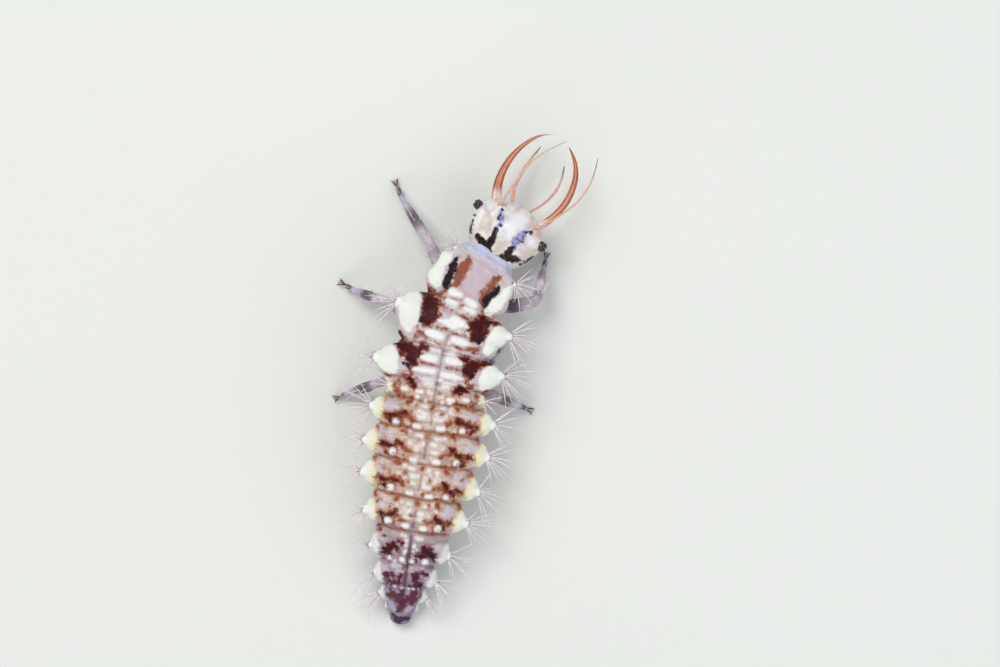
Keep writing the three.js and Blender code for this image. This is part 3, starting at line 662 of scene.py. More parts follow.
class SkinSettings(bpy.types.PropertyGroup):
    """Fineness, creases and colours of the soft skin."""

    around: IntProperty(name="Around", description="Faces around the trunk", default=200, min=24)
    along: IntProperty(name="Along", description="Faces along the trunk", default=390, min=60)
    groove: measure("Groove", "Depth between segments", GROOVE_DEPTH)
    crease: measure("Crease", "Depth of folds on the back", CREASE_DEPTH)
    ground: tint("Ground", "Beige of the back", 0.62, 0.51, 0.455)
    blush: tint("Blush", "Pink of the back", 0.48, 0.375, 0.355)
    cream: tint("Cream", "Cream streaks across the back", 0.74, 0.7, 0.64)
    belly: tint("Belly", "Grey pink of the underside", 0.42, 0.33, 0.3)
    dusk: tint("Dusk", "Lavender grey of the tail", 0.34, 0.255, 0.325)
    fold: tint("Fold", "Brown in the creases", 0.22, 0.08, 0.05)
    pale: tint("Pale", "White beads and bars", 0.86, 0.88, 0.88)
    cloud: tint("Cloud", "Soft white beads", 0.82, 0.82, 0.8)
    satin: tint("Satin", "Smooth pink behind the head", 0.58, 0.465, 0.51)
    deep: tint("Deep", "Purple grey of the tail's end", 0.25, 0.2, 0.29)
    haze: tint("Haze", "Lavender rims of the tail", 0.42, 0.39, 0.53)
    plum: tint("Plum", "Dark red of the tail's marks", 0.11, 0.03, 0.055)
    mist: tint("Mist", "Grey lavender cushions", 0.61, 0.56, 0.62)
    lobe: tint("Lobe", "Cream of the side lobes", 0.83, 0.85, 0.8)
    lobe_shade: tint("Lobe shade", "Yellow of the side lobes", 0.82, 0.78, 0.52)
    collar: tint("Collar", "Blue white behind the head", 0.56, 0.58, 0.74)
    tan: tint("Tan", "Orange buff at the edges of marks", 0.58, 0.36, 0.24)
    amber: tint("Amber", "Orange rims of the marks", 0.5, 0.2, 0.095)
    rust: tint("Rust", "Orange brown marks", 0.235, 0.043, 0.01)
    maroon: tint("Maroon", "Dark red brown marks", 0.068, 0.004, 0.006)
    ink: tint("Ink", "Black marks", 0.014, 0.009, 0.014)
    vein: tint("Vein", "Line down the middle of the back", 0.1, 0.05, 0.08)


class HeadSettings(bpy.types.PropertyGroup):
    """Fineness and colours of the head, eyes, jaws and feelers."""

    around: IntProperty(name="Around", description="Faces around the head", default=176, min=24)
    along: IntProperty(name="Along", description="Faces along the head", default=150, min=24)
    shell: tint("Shell", "Cream of the head", 0.78, 0.74, 0.73)
    shell_shade: tint("Shell shade", "Pink grey of the head", 0.62, 0.55, 0.58)
    eye: tint("Eye", "Black of the eyes", 0.004, 0.004, 0.008)
    eye_light: tint("Eye light", "Violet black in the eyes", 0.018, 0.014, 0.03)
    # Painted shade: the underside of the head is darkened with this grey pink.
    underside_painted_shade: tint("Chin", "Underside of the head", 0.4, 0.3, 0.29)
    # White of the forehead, also used for painted highlights on the head's glossy spots.
    shine: tint("Shine", "White of the forehead", 0.86, 0.87, 0.91)
    rosy: tint("Rosy", "Pink at the roots of the jaws", 0.66, 0.4, 0.36)
    tan: tint("Tan", "Buff patches of the head", 0.62, 0.54, 0.45)
    blue: tint("Blue", "Blue bands of the head", 0.35, 0.39, 0.7)
    blue_shade: tint("Blue shade", "Navy in the blue bands", 0.1, 0.1, 0.26)
    maroon: tint("Maroon", "Dark red dots of the head", 0.07, 0.008, 0.008)
    ink: tint("Ink", "Black bands of the head", 0.012, 0.006, 0.006)
    ink_shade: tint("Ink shade", "Brown in the black bands", 0.06, 0.035, 0.02)
    horn: tint("Horn", "Amber of the jaws", 0.38, 0.085, 0.02)
    horn_edge: tint("Horn edge", "Dark edge of the jaws", 0.07, 0.013, 0.006)
    horn_light: tint("Horn light", "Orange of the jaws", 0.5, 0.15, 0.045)
    # Pink of the jaws' roots, also a painted highlight along the seam on the jaws' top.
    horn_pink_and_highlight: tint("Horn seam", "Pink seam of the jaws", 0.68, 0.36, 0.24)
    horn_root: tint("Horn root", "Clear roots of the jaws", 0.8, 0.68, 0.64)
    feeler: tint("Feeler", "Pink of the feelers", 0.6, 0.36, 0.27)
    feeler_light: tint("Feeler light", "Light parts of the feelers", 0.72, 0.5, 0.42)
    feeler_tip: tint("Feeler tip", "Smoky tips of the feelers", 0.13, 0.14, 0.14)


class LegSettings(bpy.types.PropertyGroup):
    """Fineness and colours of the legs, claws and soles."""

    sides: IntProperty(name="Sides", description="Sides of a leg before smoothing", default=12, min=6)
    flesh: tint("Leg", "Grey pink of the legs", 0.46, 0.38, 0.44)
    flesh_light: tint("Leg light", "Light parts of the legs", 0.66, 0.59, 0.68)
    blue: tint("Blue", "Blue ends of the legs", 0.42, 0.43, 0.66)
    band: tint("Band", "Dark bands of the legs", 0.055, 0.04, 0.065)
    claw: tint("Claw", "Brown of the claws", 0.07, 0.03, 0.02)
    claw_light: tint("Claw light", "Light parts of the claws", 0.2, 0.09, 0.04)
    sole: tint("Sole", "Grey of the soles", 0.3, 0.26, 0.3)
    sole_light: tint("Sole light", "Light parts of the soles", 0.5, 0.45, 0.5)


class BristleSettings(bpy.types.PropertyGroup):
    """Size and colour of the bristles."""

    radius: measure("Radius", "Radius at the root", BRISTLE_RADIUS)
    seed: IntProperty(name="Seed", description="Seed of the bristles' spread", default=7)
    colour: tint("Bristle", "Silver of the bristles", 0.72, 0.64, 0.7)
    light: tint("Light", "Light parts of the bristles", 0.88, 0.82, 0.86)
    root: tint("Root", "Dark roots of the bristles", 0.2, 0.14, 0.14)


class StageSettings(bpy.types.PropertyGroup):
    """Floor, lights and camera."""

    floor: tint("Floor", "Pale floor", 0.78, 0.8, 0.77)
    view_width: measure("View width", "Width that the picture takes in", 22.2)
    lens: FloatProperty(name="Lens", description="Focal length of the camera", default=400.0)
    key: power("Key light", "Power of the key light", 0.45)
    fill: power("Fill light", "Power of the fill light", 0.18)


# Materials


class Shade:
    """A value in a material's node tree. Python's operators on it add Math nodes."""

    def __init__(self, tree, socket=None):
        self.tree = tree
        self.socket = socket

    def add(self, kind, settings=None, inputs=None, output=0):
        """Adds a node, sets it up, fills or links its inputs and gives back one of its outputs."""
        node = self.tree.nodes.new(kind)
        for name, value in (settings or {}).items():
            setattr(node, name, value)
        for name, value in (inputs or {}).items():
            if isinstance(value, Shade):
                self.tree.links.new(value.socket, node.inputs[name])
            else:
                node.inputs[name].default_value = value
        return Shade(self.tree, node.outputs[output])

    def math(self, operation, *values):
        return self.add("ShaderNodeMath", {"operation": operation}, dict(enumerate(values)))

    def __add__(self, other):
        return self.math("ADD", self, other)

    def __sub__(self, other):
        return self.math("SUBTRACT", self, other)

    def __rsub__(self, other):
        return self.math("SUBTRACT", other, self)

    def __mul__(self, other):
        return self.math("MULTIPLY", self, other)

    __radd__ = __add__
    __rmul__ = __mul__

    def step(self, low, high):
        """A smooth step from 0 at low to 1 at high."""
        inputs = {"Value": self, "From Min": low, "From Max": high}
        return self.add("ShaderNodeMapRange", {"interpolation_type": "SMOOTHSTEP"}, inputs)

    def between(self, under, over):
        """The colour that lies this share of the way from one colour to another."""
        colours = {6: colour_of(under), 7: colour_of(over), 0: self}
        return self.add("ShaderNodeMix", {"data_type": "RGBA"}, colours, output=2)


def colour_of(value):
    """A shader value as it is, or a plain colour with its alpha."""
    return value if isinstance(value, Shade) else (*value, 1.0)


class Paint:
    """A material with a glossy shader, its object coordinates and the patterns that finishes share."""

    def __init__(self, name):
        self.material = bpy.data.materials.new(name)
        self.material.use_nodes = True
        self.tree = self.material.node_tree
        self.shader = self.tree.nodes["Principled BSDF"]
        self.shade = Shade(self.tree)
        self.place = self.shade.add("ShaderNodeTexCoord", output="Object")

    def attribute(self, name):
        """A number stored on the piece's points."""
        return self.shade.add("ShaderNodeAttribute", {"attribute_name": name}, output="Fac")

    def noise(self, grain, detail=3.0, stretch=None):
        """Noise whose grains are about so many millimetres wide, more where stretch is below 1."""
        place = self.place
        if stretch:
            inputs = {0: place, 1: stretch}
            place = self.shade.add("ShaderNodeVectorMath", {"operation": "MULTIPLY"}, inputs)
        inputs = {"Vector": place, "Scale": 1 / (grain * MM), "Detail": detail}
        return self.shade.add("ShaderNodeTexNoise", None, inputs)

    def cells(self, grain):
        """Distance from the middle of the nearest of cells that are so many millimetres wide."""
        inputs = {"Vector": self.place, "Scale": 1 / (grain * MM)}
        return self.shade.add("ShaderNodeTexVoronoi", None, inputs)

    def bump(self, height, depth, strength=1.0):
        """A bumpy normal from a height, so many millimetres deep."""
        inputs = {"Height": height, "Distance": depth * MM, "Strength": strength}
        return self.shade.add("ShaderNodeBump", None, inputs)

    def marked(self, colour, ragged, layers):
        """Lays marks over a colour: depth inside them, colour, softness, raggedness and strength. Gives
        the colour and where the last of them lies."""
        for depth, over, soft, rag, strength in layers:
            mask = (depth + ragged * rag).step(-soft, soft)
            colour = (mask * strength).between(colour, over)
        return colour, mask

    def finish(self, flesh=None, **inputs):
        """Sets the shader's sockets, named with spaces as underscores, and gives the material. flesh is
        how light goes in: its weight, its share of red, green and blue, and how many millimetres."""
        if flesh:
            weight, reach, depth = flesh
            inputs.update(Subsurface_Weight=weight, Subsurface_Radius=reach, Subsurface_Scale=depth * MM)
        for name, value in inputs.items():
            socket = self.shader.inputs[name.replace("_", " ")]
            if isinstance(value, Shade):
                self.tree.links.new(value.socket, socket)
            else:
                socket.default_value = value
        return self.material


def skin_material(settings):
    """Soft cream and pink skin with its marks, from the depths stored on its points."""
    paint = Paint("larva_skin")
    fine = paint.noise(0.035, 4.0)
    broad = paint.noise(0.3)
    streaks = paint.noise(0.1, stretch=(0.25, 1.0, 1.0))
    ragged = (paint.noise(0.11, 2.0) - 0.5) * 0.2 + (fine - 0.5) * 0.07
    dusk = paint.attribute("dusk")
    deep = paint.attribute("deep")
    rust = paint.attribute("rust")
    maroon = paint.attribute("maroon")
    marked = rust.math("MAXIMUM", rust, maroon + 0.03)
    colour = broad.step(0.42, 0.6).between(settings.ground, settings.blush)
    colour = (streaks.step(0.5, 0.66) * 0.7).between(colour, settings.cream)
    colour = paint.attribute("belly").between(colour, settings.belly)
    front = paint.attribute("front")
    colour = (front * 0.75).between(colour, settings.mist)
    colour = dusk.between(colour, deep.between(settings.dusk, settings.deep))
    crease = (paint.attribute("crease") + (streaks - 0.5) * 1.2).step(0.45, 1.0)
    colour = (crease * 0.7).between(colour, settings.fold)
    warm = 1.0 - dusk * 0.75 - front * 0.65
    reds = (fine.step(0.45, 0.7) * 0.35).between(settings.rust, settings.amber)
    reds = dusk.between(reds, settings.plum)
    wine = (streaks.step(0.42, 0.62) * 0.5).between(settings.maroon, settings.ink)
    pale = paint.attribute("pale")
    cloud = paint.attribute("cloud")
    ink = (paint.attribute("ink") + ragged * 0.9).step(-0.03, 0.03)
    black = fine.step(0.5, 0.78).between(settings.ink, settings.plum)
    layers = (
        (paint.attribute("satin"), settings.satin, 0.09, 0.3, 0.85),
        (paint.attribute("mist"), deep.between(settings.mist, settings.haze), 0.06, 0.3, 0.85),
        (cloud + 0.04, settings.tan, 0.05, 0.8, warm * 0.22),
        (cloud, settings.cloud, 0.045, 0.6, 0.88),
        (marked + 0.045, settings.amber, 0.07, 0.8, warm * 0.65),
        (paint.attribute("tan"), settings.tan, 0.06, 0.5, 0.9),
        (paint.attribute("vein"), settings.vein, 0.03, 0.4, dusk * 0.45 + 0.45),
        (pale + 0.04, settings.amber, 0.05, 1.0, warm * 0.45),
        (marked, reds, 0.045, 1.1, 0.93),
        (maroon, deep.between(wine, settings.plum), 0.05, 1.2, 0.97),
        (pale, settings.pale, 0.04, 0.3, 0.95),
    )
    colour, _ = paint.marked(colour, ragged, layers)
    colour = (ink * (1.0 - deep * 0.15)).between(colour, black)
    lobe = (paint.attribute("lobe") + ragged * 0.5).step(0.0, 0.06)
    cream = (paint.attribute("yellow") * (1.0 - dusk * 0.6) + (broad - 0.5) * 0.7).step(0.25, 0.95)
    cream = cream.between(settings.lobe, settings.lobe_shade)
    cream = (broad.step(0.5, 0.75) * 0.2 + dusk * 0.3).between(cream, settings.mist)
    colour = lobe.between(colour, cream)
    tip = (paint.attribute("tip") + ragged * 0.2).step(-0.05, 0.05)
    colour = tip.between(colour, settings.pale)
    collar = (paint.attribute("collar") + (broad - 0.5) * 0.9).step(0.2, 0.85)
    bluish = (broad.step(0.4, 0.6) * 0.5).between(settings.collar, settings.mist)
    colour = (collar * 0.95).between(colour, bluish)
    height = fine * 0.5 + paint.cells(0.028) * 0.5
    return paint.finish(
        Base_Color=colour,
        Roughness=fine * 0.3 + 0.28 + ink * 0.25,
        Normal=paint.bump(height, 0.012, 0.5),
        flesh=(0.2, (1.0, 0.55, 0.4), 0.08),
        Specular_IOR_Level=0.12,
    )


def head_material(settings):
    """Smooth cream shell with dark and blue bands."""
    paint = Paint("larva_head")
    fine = paint.noise(0.04, 4.0)
    broad = paint.noise(0.16)
    ragged = (paint.noise(0.08, 2.0) - 0.5) * 0.12 + (fine - 0.5) * 0.05
    colour = broad.step(0.42, 0.66).between(settings.shell, settings.shell_shade)
    # Painted shade on the head's underside.
    colour = paint.attribute("under").between(colour, settings.underside_painted_shade)
    blue = broad.step(0.45, 0.62).between(settings.blue, settings.blue_shade)
    ink = fine.step(0.5, 0.72).between(settings.ink, settings.ink_shade)
    layers = (
        ("tan", settings.tan, 0.08, 0.6, 0.88),
        ("rosy", settings.rosy, 0.08, 0.6, 0.65),
        # Painted highlights: the glossy spots of the shell are painted with the forehead's white.
        ("shine", settings.shine, 0.09, 0.5, 0.9),
        ("blue", blue, 0.03, 0.7, 0.92),
        ("maroon", settings.maroon, 0.018, 0.6, 0.97),
        ("ink", ink, 0.026, 0.8, 1.0),
    )
    layers = [(paint.attribute(name), *layer) for name, *layer in layers]
    colour, black = paint.marked(colour, ragged, layers)
    return paint.finish(
        Base_Color=colour,
        Roughness=fine * 0.2 + 0.16,
        Normal=paint.bump(paint.cells(0.04) * 0.4 + fine * 0.6, 0.005, 0.4),
        flesh=(0.15, (1.0, 0.6, 0.45), 0.06),
        Coat_Weight=(1.0 - black * 0.85) * 0.3,
        Coat_Roughness=0.12,
        Specular_IOR_Level=0.22,
    )


def horn_material(settings):
    """Polished amber horn, pale at the root, with a painted highlight along its seam and a dark outer
    edge.
    """
    paint = Paint("larva_horn")
    along = paint.attribute("along")
    outer = paint.attribute("outer")
    streak = paint.noise(0.1)
    mottle = (streak - 0.5) * 0.3
    colour = streak.step(0.35, 0.7).between(settings.horn, settings.horn_light)
    seam = (outer + 0.12).math("ABSOLUTE", outer + 0.12) + mottle * 0.4
    # Painted highlight: a pale pink stripe along the seam on the top of the jaw.
    colour = (seam.step(0.26, 0.06) * 0.75).between(colour, settings.horn_pink_and_highlight)
    colour = ((outer + mottle).step(0.5, 0.95) * 0.92).between(colour, settings.horn_edge)
    colour = ((outer + mottle).step(-0.75, -1.0) * 0.7).between(colour, settings.horn)
    root = (along + mottle * 0.3).step(0.24, 0.14)
    clear = (seam.step(0.5, 0.75) * 0.6).between(settings.horn_root, settings.horn_pink_and_highlight)
    colour = (root * 0.9).between(colour, clear)
    colour = (along.step(0.82, 1.0) * 0.6).between(colour, settings.horn_edge)
    return paint.finish(
        Base_Color=colour,
        Roughness=streak * 0.15 + 0.16,
        Normal=paint.bump(streak, 0.006, 0.3),
        flesh=(0.1, (1.0, 0.4, 0.15), 0.08),
        Coat_Weight=0.3,
        Coat_Roughness=0.08,
        Specular_IOR_Level=0.4,
    )


def feeler_material(settings):
    """Clear pink feelers, ringed, with smoky tips."""
    paint = Paint("larva_feeler")
    along = paint.attribute("along")
    grain = paint.noise(0.06)
    colour = grain.step(0.35, 0.7).between(settings.feeler, settings.feeler_light)
    colour = ((along + (grain - 0.5) * 0.06).step(0.8, 0.95) * 0.85).between(colour, settings.feeler_tip)
    rings = (along * 260.0).math("SINE", along * 260.0)
    return paint.finish(
        Base_Color=colour,
        Roughness=0.32,
        Normal=paint.bump(rings * 0.5 + grain * 0.5, 0.005, 0.5),
        flesh=(0.3, (1.0, 0.6, 0.5), 0.06),
    )


def leg_material(settings):
    """Half clear grey pink legs with dark bands."""
    paint = Paint("larva_leg")
    grain = paint.noise(0.05, 4.0)
    broad = paint.noise(0.18, 2.0)
    colour = broad.step(0.38, 0.66).between(settings.flesh, settings.flesh_light)
    colour = (paint.attribute("blue") * 0.6).between(colour, settings.blue)
    band = (paint.attribute("band") + (grain - 0.5) * 0.5 + (broad - 0.5) * 0.5).step(0.1, 0.9)
    colour = (band * 0.88).between(colour, settings.band)
    return paint.finish(
        Base_Color=colour,
        Roughness=grain * 0.2 + 0.28,
        Normal=paint.bump(paint.cells(0.03), 0.006, 0.5),
        flesh=(0.25, (1.0, 0.7, 0.8), 0.1),
        Coat_Weight=0.1,
    )


def foot_material(name, dark, light, roughness, depth, strength):
    """A finely mottled finish for claws and soles."""
    paint = Paint(name)
    grain = paint.noise(0.03)
    colour = grain.step(0.35, 0.7).between(dark, light)
    bumps = paint.bump(grain, depth, strength)
    return paint.finish(Base_Color=colour, Roughness=roughness, Normal=bumps)


def eye_material(settings):
    """Black polished lenses in dark pigment."""
    paint = Paint("larva_eye")
    grain = paint.noise(0.05, 2.0)
    colour = grain.step(0.4, 0.7).between(settings.eye, settings.eye_light)
    rough = grain * 0.1 + 0.04
    return paint.finish(Base_Color=colour, Roughness=rough, Coat_Weight=0.6, Coat_Roughness=0.03)


def bristle_material(settings):
    """Silvery bristles with a dark ring at the root."""
    paint = Paint("larva_bristle")
    along = paint.attribute("along")
    grain = paint.noise(0.08, 2.0)
    colour = grain.step(0.35, 0.7).between(settings.colour, settings.light)
    colour = (along.step(0.05, 0.0) * 0.7).between(colour, settings.root)
    return paint.finish(flesh=(0.2, (1.0, 0.2, 0.1), 0.02), Base_Color=colour, Roughness=0.3)


def floor_material(colour):
    """Plain pale floor."""
    paint = Paint("stage_floor")
    shade = paint.noise(FLOOR_GRAIN, 2.0).step(0.3, 0.7)
    darker = [0.97 * part for part in colour]
    return paint.finish(Base_Color=shade.between(colour, darker), Roughness=0.75)


# Meshes


def to_frame(points):
    """Points of the larva's own axes, mm, in the frame's metres."""
    return (np.asarray(points, float) + LARVA_ORIGIN) * MM


def head_turn():
    """The head's axes as columns."""
    yaw = Matrix.Rotation(math.radians(-HEAD_YAW), 3, "Z")
    return np.array(yaw @ Matrix.Rotation(math.radians(HEAD_PITCH), 3, "X"))


def from_head(points):
    """Points of the head's axes in the larva's."""
    neck_end = SPINE.at(len(SEGMENTS))[0][0]
    return neck_end + (np.asarray(points, float) + [0, HEAD_BACK, 0]) @ head_turn().T


def on_head(points):
    """Points of the head's axes in the frame's metres."""
    return to_frame(from_head(points))


def activate(piece):
    """Makes a piece the only one that is selected."""
    bpy.ops.object.select_all(action="DESELECT")
    bpy.context.view_layer.objects.active = piece
    piece.select_set(True)


def set_numbers(piece, name, values):
    """Stores a number for each point of a piece."""
    attribute = piece.data.attributes.new(name, "FLOAT", "POINT")
    attribute.data.foreach_set("value", np.asarray(values, np.float32))


def points_of(piece):
    """The places of a piece's points, as an array."""
    flat = np.empty(3 * len(piece.data.vertices), np.float32)
    piece.data.vertices.foreach_get("co", flat)
    return flat.reshape(-1, 3).astype(float)


def move_points(piece, places):
    """Moves a piece's points to places."""
    piece.data.vertices.foreach_set("co", np.asarray(places, np.float32).ravel())


def rolled(name, around, along, surface):
    """A closed piece rolled from a grid. surface gives the points in metres and the numbers to store
    for shares around and along."""
    bpy.ops.object.select_all(action="DESELECT")
    bpy.ops.mesh.primitive_grid_add(
        x_subdivisions=around, y_subdivisions=along, size=1, location=(0, 0, 0)
    )
    piece = bpy.context.object
    piece.name = name
    flat = points_of(piece) + 0.5
    points, numbers = surface(flat[:, 0], flat[:, 1])
    move_points(piece, points)
    for key, values in numbers.items():
        set_numbers(piece, key, values)
    bpy.ops.object.mode_set(mode="EDIT")
    bpy.ops.mesh.select_all(action="SELECT")
    bpy.ops.mesh.remove_doubles(threshold=1e-7)
    bpy.ops.mesh.normals_make_consistent(inside=False)
    bpy.ops.object.mode_set(mode="OBJECT")
    bpy.ops.object.shade_smooth()
    return piece


def lofted(name, rings, sides, levels=2):
    """A closed limb bridged through circles. Each ring is a place and heading in the frame's metres,
    a radius, and its height as a share of its width."""
    bpy.ops.object.select_all(action="DESELECT")
    bpy.ops.object.add(type="MESH")
    piece = bpy.context.object
    piece.name = name
    bpy.ops.object.mode_set(mode="EDIT")
    for place, heading, radius, flatness in rings:
        turn = Vector(heading).to_track_quat("Z", "Y").to_euler()
        bpy.ops.mesh.primitive_circle_add(vertices=sides, radius=radius, location=place, rotation=turn)
        if flatness != 1:
            bpy.ops.transform.resize(value=(1, 1, flatness), center_override=place)
    bpy.ops.mesh.select_all(action="SELECT")
    bpy.ops.mesh.bridge_edge_loops()
    bpy.ops.mesh.select_all(action="SELECT")
    bpy.ops.mesh.fill_holes(sides=0)
    bpy.ops.mesh.select_all(action="SELECT")
    bpy.ops.mesh.normals_make_consistent(inside=False)
    bpy.ops.object.mode_set(mode="OBJECT")
    smooth = piece.modifiers.new("smooth", "SUBSURF")
    smooth.levels = levels
    smooth.render_levels = levels
    bpy.ops.object.modifier_apply(modifier=smooth.name)
    bpy.ops.object.shade_smooth()
    return piece


def joined(name, pieces):
    """Several pieces as one."""
    activate(pieces[0])
    for piece in pieces:
        piece.select_set(True)
    bpy.ops.object.join()
    pieces[0].name = name
    return pieces[0]


def rings_along(curve, radii, flatness=1.0):
    """Rings for a limb of the head on a curve, given its radius at shares of the length."""
    shares = np.linspace(0, 1, CURVE_STEPS)
    places = curve.shares(CURVE_STEPS)
    rings = []
    for share, radius in radii:
        point, way = curve.at(np.interp(share, shares, places))
        start = on_head(point)[0]
        ahead = on_head(point + way * 0.01)[0]
        rings.append((Vector(start), Vector(ahead - start), radius * MM, flatness))
    return rings


def share_along(points, line):
    """How far along a line each point lies, from 0 to 1, and the place of the line nearest to it."""
    best = np.full(len(points), np.inf)
    share = np.zeros(len(points))
    nearest = np.zeros((len(points), 3))
    steps = np.linalg.norm(np.diff(line, axis=0), axis=1)
    run = np.concatenate([[0], np.cumsum(steps)])
    for i, (start, end) in enumerate(zip(line[:-1], line[1:])):
        way = end - start
        t = np.clip((points - start) @ way / (way @ way), 0, 1)
        spot = start + t[:, None] * way
        gap = np.linalg.norm(points - spot, axis=1)
        closer = gap < best
        best[closer] = gap[closer]
        share[closer] = ((run[i] + t * steps[i]) / run[-1])[closer]
        nearest[closer] = spot[closer]
    return share, nearest


def dress(piece, material, slot, *nodes):
    """Gives a piece its material and the root body, and hides the frame's parts named by nodes. slot is
    not used.
    """
    piece.data.materials.clear()
    piece.data.materials.append(material)
    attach(piece, "root")
    if nodes:
        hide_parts(*nodes)


# Skin


def both_sides(name, places, reaches, lift):
    """Arc, angle and reach of a form on the left and on the right."""
    for side, at, reach in zip(BOTH, places, reaches):
        yield arc_of(station_of(name, at)), math.radians(lift if side > 0 else 180 - lift), reach


LOBE_SHAPES = [
    (*form, along, tall)
    for *row, along, tall, lift in LOBES
    for form in both_sides(*row, lift)
]
KNOB_SHAPES = [
    (arc, angle, reach - radius, radius)
    for *row, radius, lift in KNOBS
    for arc, angle, reach in both_sides(*row, lift)
]


def mark_strokes():
    """The strokes of each colour of mark on the back, a little different on each segment and side."""
    rng = np.random.default_rng(MARK_SEED)
    made = {colour: [] for colour in MARKS}
    for colour, marks in MARKS.items():
        for names, sides, points in ((*row[:2], points) for row in marks for points in row[2]):
            middle = all(point[1] == 0 for point in points)
            for name in names.split():
                for line in on_back(name, plain(points), RIGHT if middle else sides):
                    loose = 1 if colour in ("pale", "cloud") else len(line)
                    line = np.array(line)
                    line[:, :2] += rng.normal(0, MARK_SPREAD, (loose, 2)) * (0.3 if middle else 1)
                    line[:, 2] *= rng.uniform(0.85, 1.15, len(line))
                    made[colour].append(line)
    for colour, names, count, out, radius in FLECKS:
        for name in (name for name in names.split() for _ in range(count)):
            at, share = rng.uniform(0.05, 0.95), rng.uniform(0.04, out)
            size = radius * rng.uniform(0.6, 1.2)
            made[colour] += on_back(name, [(at, share, size)], (rng.choice(BOTH),))
    return made


MARK_STROKES = mark_strokes()
WHITE_STROKES = [
    line
    for name, sides, strokes in WHITES
    for points in strokes
    for line in on_back(name, plain(points), sides)
]
BACK_CREASES = [arc_of(station_of(name, at)) for name, places in CREASES.items() for at in places]


def lobe_out(reach, arc, polar, shape):
    """How deep points lie inside a lobe's edge, and the reach of the skin with the lobe."""
    where, lean, tip, along, tall = shape
    out = np.hypot((arc - where) / along, (polar - lean) * reach / tall)
    swell = np.maximum(1 - out**2, 0) ** LOBE_ROUND
    return (1 - out) * tall, reach + np.maximum(tip - reach, 0) * swell


def knob_out(reach, arc, polar, shape):
    """How deep points lie inside a knob, and the reach of the skin with the knob."""
    where, lean, middle, radius = shape
    far = np.zeros(len(arc))
    near = np.abs(arc - where) < 1.6 * radius
    turn = polar[near] - lean
    under = radius**2 - (arc[near] - where) ** 2 - (middle * np.sin(turn)) ** 2
    edge = middle * np.cos(turn) + np.where(under > 0, 1, -4) * np.sqrt(np.abs(under))
    far[near] = np.where(np.cos(turn) > 0.2, edge, 0)
    blend = np.maximum(KNOB_BLEND - np.abs(reach - far), 0) ** 2 / (4 * KNOB_BLEND)
    return far - reach, np.maximum(reach, far) + blend


def skin_surface(station, angle, groove=GROOVE_DEPTH, crease=CREASE_DEPTH):
    """Points of the skin at stations and angles from the right side up, with the numbers that its
    colours need."""
    point, forward, right, up = body_frame(station)
    width, height = halves(station)
    across = warp(np.cos(angle), SQUARENESS) * width
    upward = warp(np.sin(angle), SQUARENESS) * height * np.where(np.sin(angle) < 0, BELLY_FLATNESS, 1)
    base = np.hypot(across, upward)
    polar = np.arctan2(upward, across)
    polar = np.where(polar < -math.pi / 2, polar + 2 * math.pi, polar)
    arc = arc_of(station)
    plan = base * np.cos(polar)
    back = rise(np.sin(polar), -0.15, 0.3)
    wander = sum(far * np.sin(plan * x + arc * y) for far, x, y in WANDER)
    cut = np.zeros(len(arc))
    for edge in ARCS[1:-1]:
        deep = NECK_GROOVE if edge > ARCS[-4] else 1.0
        cut = np.maximum(cut, deep * ridge(arc + wander * 0.4, edge, GROOVE_WIDTH))
    fold = np.zeros(len(arc))
    for edge in BACK_CREASES:
        fold = np.maximum(fold, ridge(arc + wander, edge, CREASE_WIDTH))
    size = rise(width, 0.1, 0.7)
    low, wide, deep = FLANK_FOLD
    flank = ridge(polar, -low, wide) + ridge(polar, math.pi + low, wide)
    out = np.abs(plan) / np.maximum(width, 1e-6)
    furrow = sum(depth * ridge(out, place, wide) for place, wide, depth in FURROWS)
    reach = base - size * (groove * cut + crease * (fold + 0.6 * furrow) * back + deep * flank)
    reach += size * WRINKLE * np.sin(arc * 23 + 3 * np.sin(polar * 5)) * np.sin(polar * 11 + arc * 3)
    collar = rise(station, COLLAR_FROM - 0.08, COLLAR_FROM + 0.1)
    reach += COLLAR_RIPPLE * collar * back * np.sin(plan * 11 + 1) * np.sin(arc * 13 + plan * 2)
    numbers = {}
    for name, shapes, swell in (("lobe", LOBE_SHAPES, lobe_out), ("tip", KNOB_SHAPES, knob_out)):
        numbers[name] = np.full(len(arc), -1.0)
        for shape in shapes:
            depth, reach = swell(reach, arc, polar, shape)
            numbers[name] = np.maximum(numbers[name], depth)
    plan = reach * np.cos(polar)
    white = strokes_depth(WHITE_STROKES, plan, arc)
    numbers["lobe"] = np.where(station > WHITES_FROM, white, numbers["lobe"])
    for colour, strokes in MARK_STROKES.items():
        depth = strokes_depth(strokes, plan, arc)
        numbers[colour] = depth - np.maximum(0.2 - np.sin(polar), 0) * MARK_FADE
        if colour in RELIEF:
            low, high, lift = RELIEF[colour]
            reach = reach + lift * rise(numbers[colour], low, high)
    folds = np.maximum(cut, 0.7 * fold) * back * rise(width, 0.3, 0.9)
    numbers["crease"] = folds * rise(0.02 - numbers["pale"], 0, 0.03)
    numbers["dusk"] = rise(DUSKY_TO - station, -0.5, 0.9)
    numbers["deep"] = rise(DEEP_TO - station, -0.6, 0.8)
    numbers["front"] = rise(station, FRONT_FROM - 0.3, FRONT_FROM + 0.5)
    numbers["collar"] = collar
    beside = np.abs(reach * np.cos(polar)) / np.maximum(width, 1e-6)
    numbers["yellow"] = rise(1.17 - beside, 0, 0.26) * rise(YELLOW_TO - station, -0.8, 0.2)
    numbers["belly"] = rise(-np.sin(polar), 0.1, 0.6)
    place = point + right * (reach * np.cos(polar))[:, None] + up * (reach * np.sin(polar))[:, None]
    place[:, 2] = np.maximum(place[:, 2], 0)
    return place, numbers


def skin_angle(share):
    """Angle around the trunk at a share, from the belly's midline, closer together on the back."""
    return -np.pi / 2 + 2 * np.pi * share + 0.35 * np.sin(2 * np.pi * share)


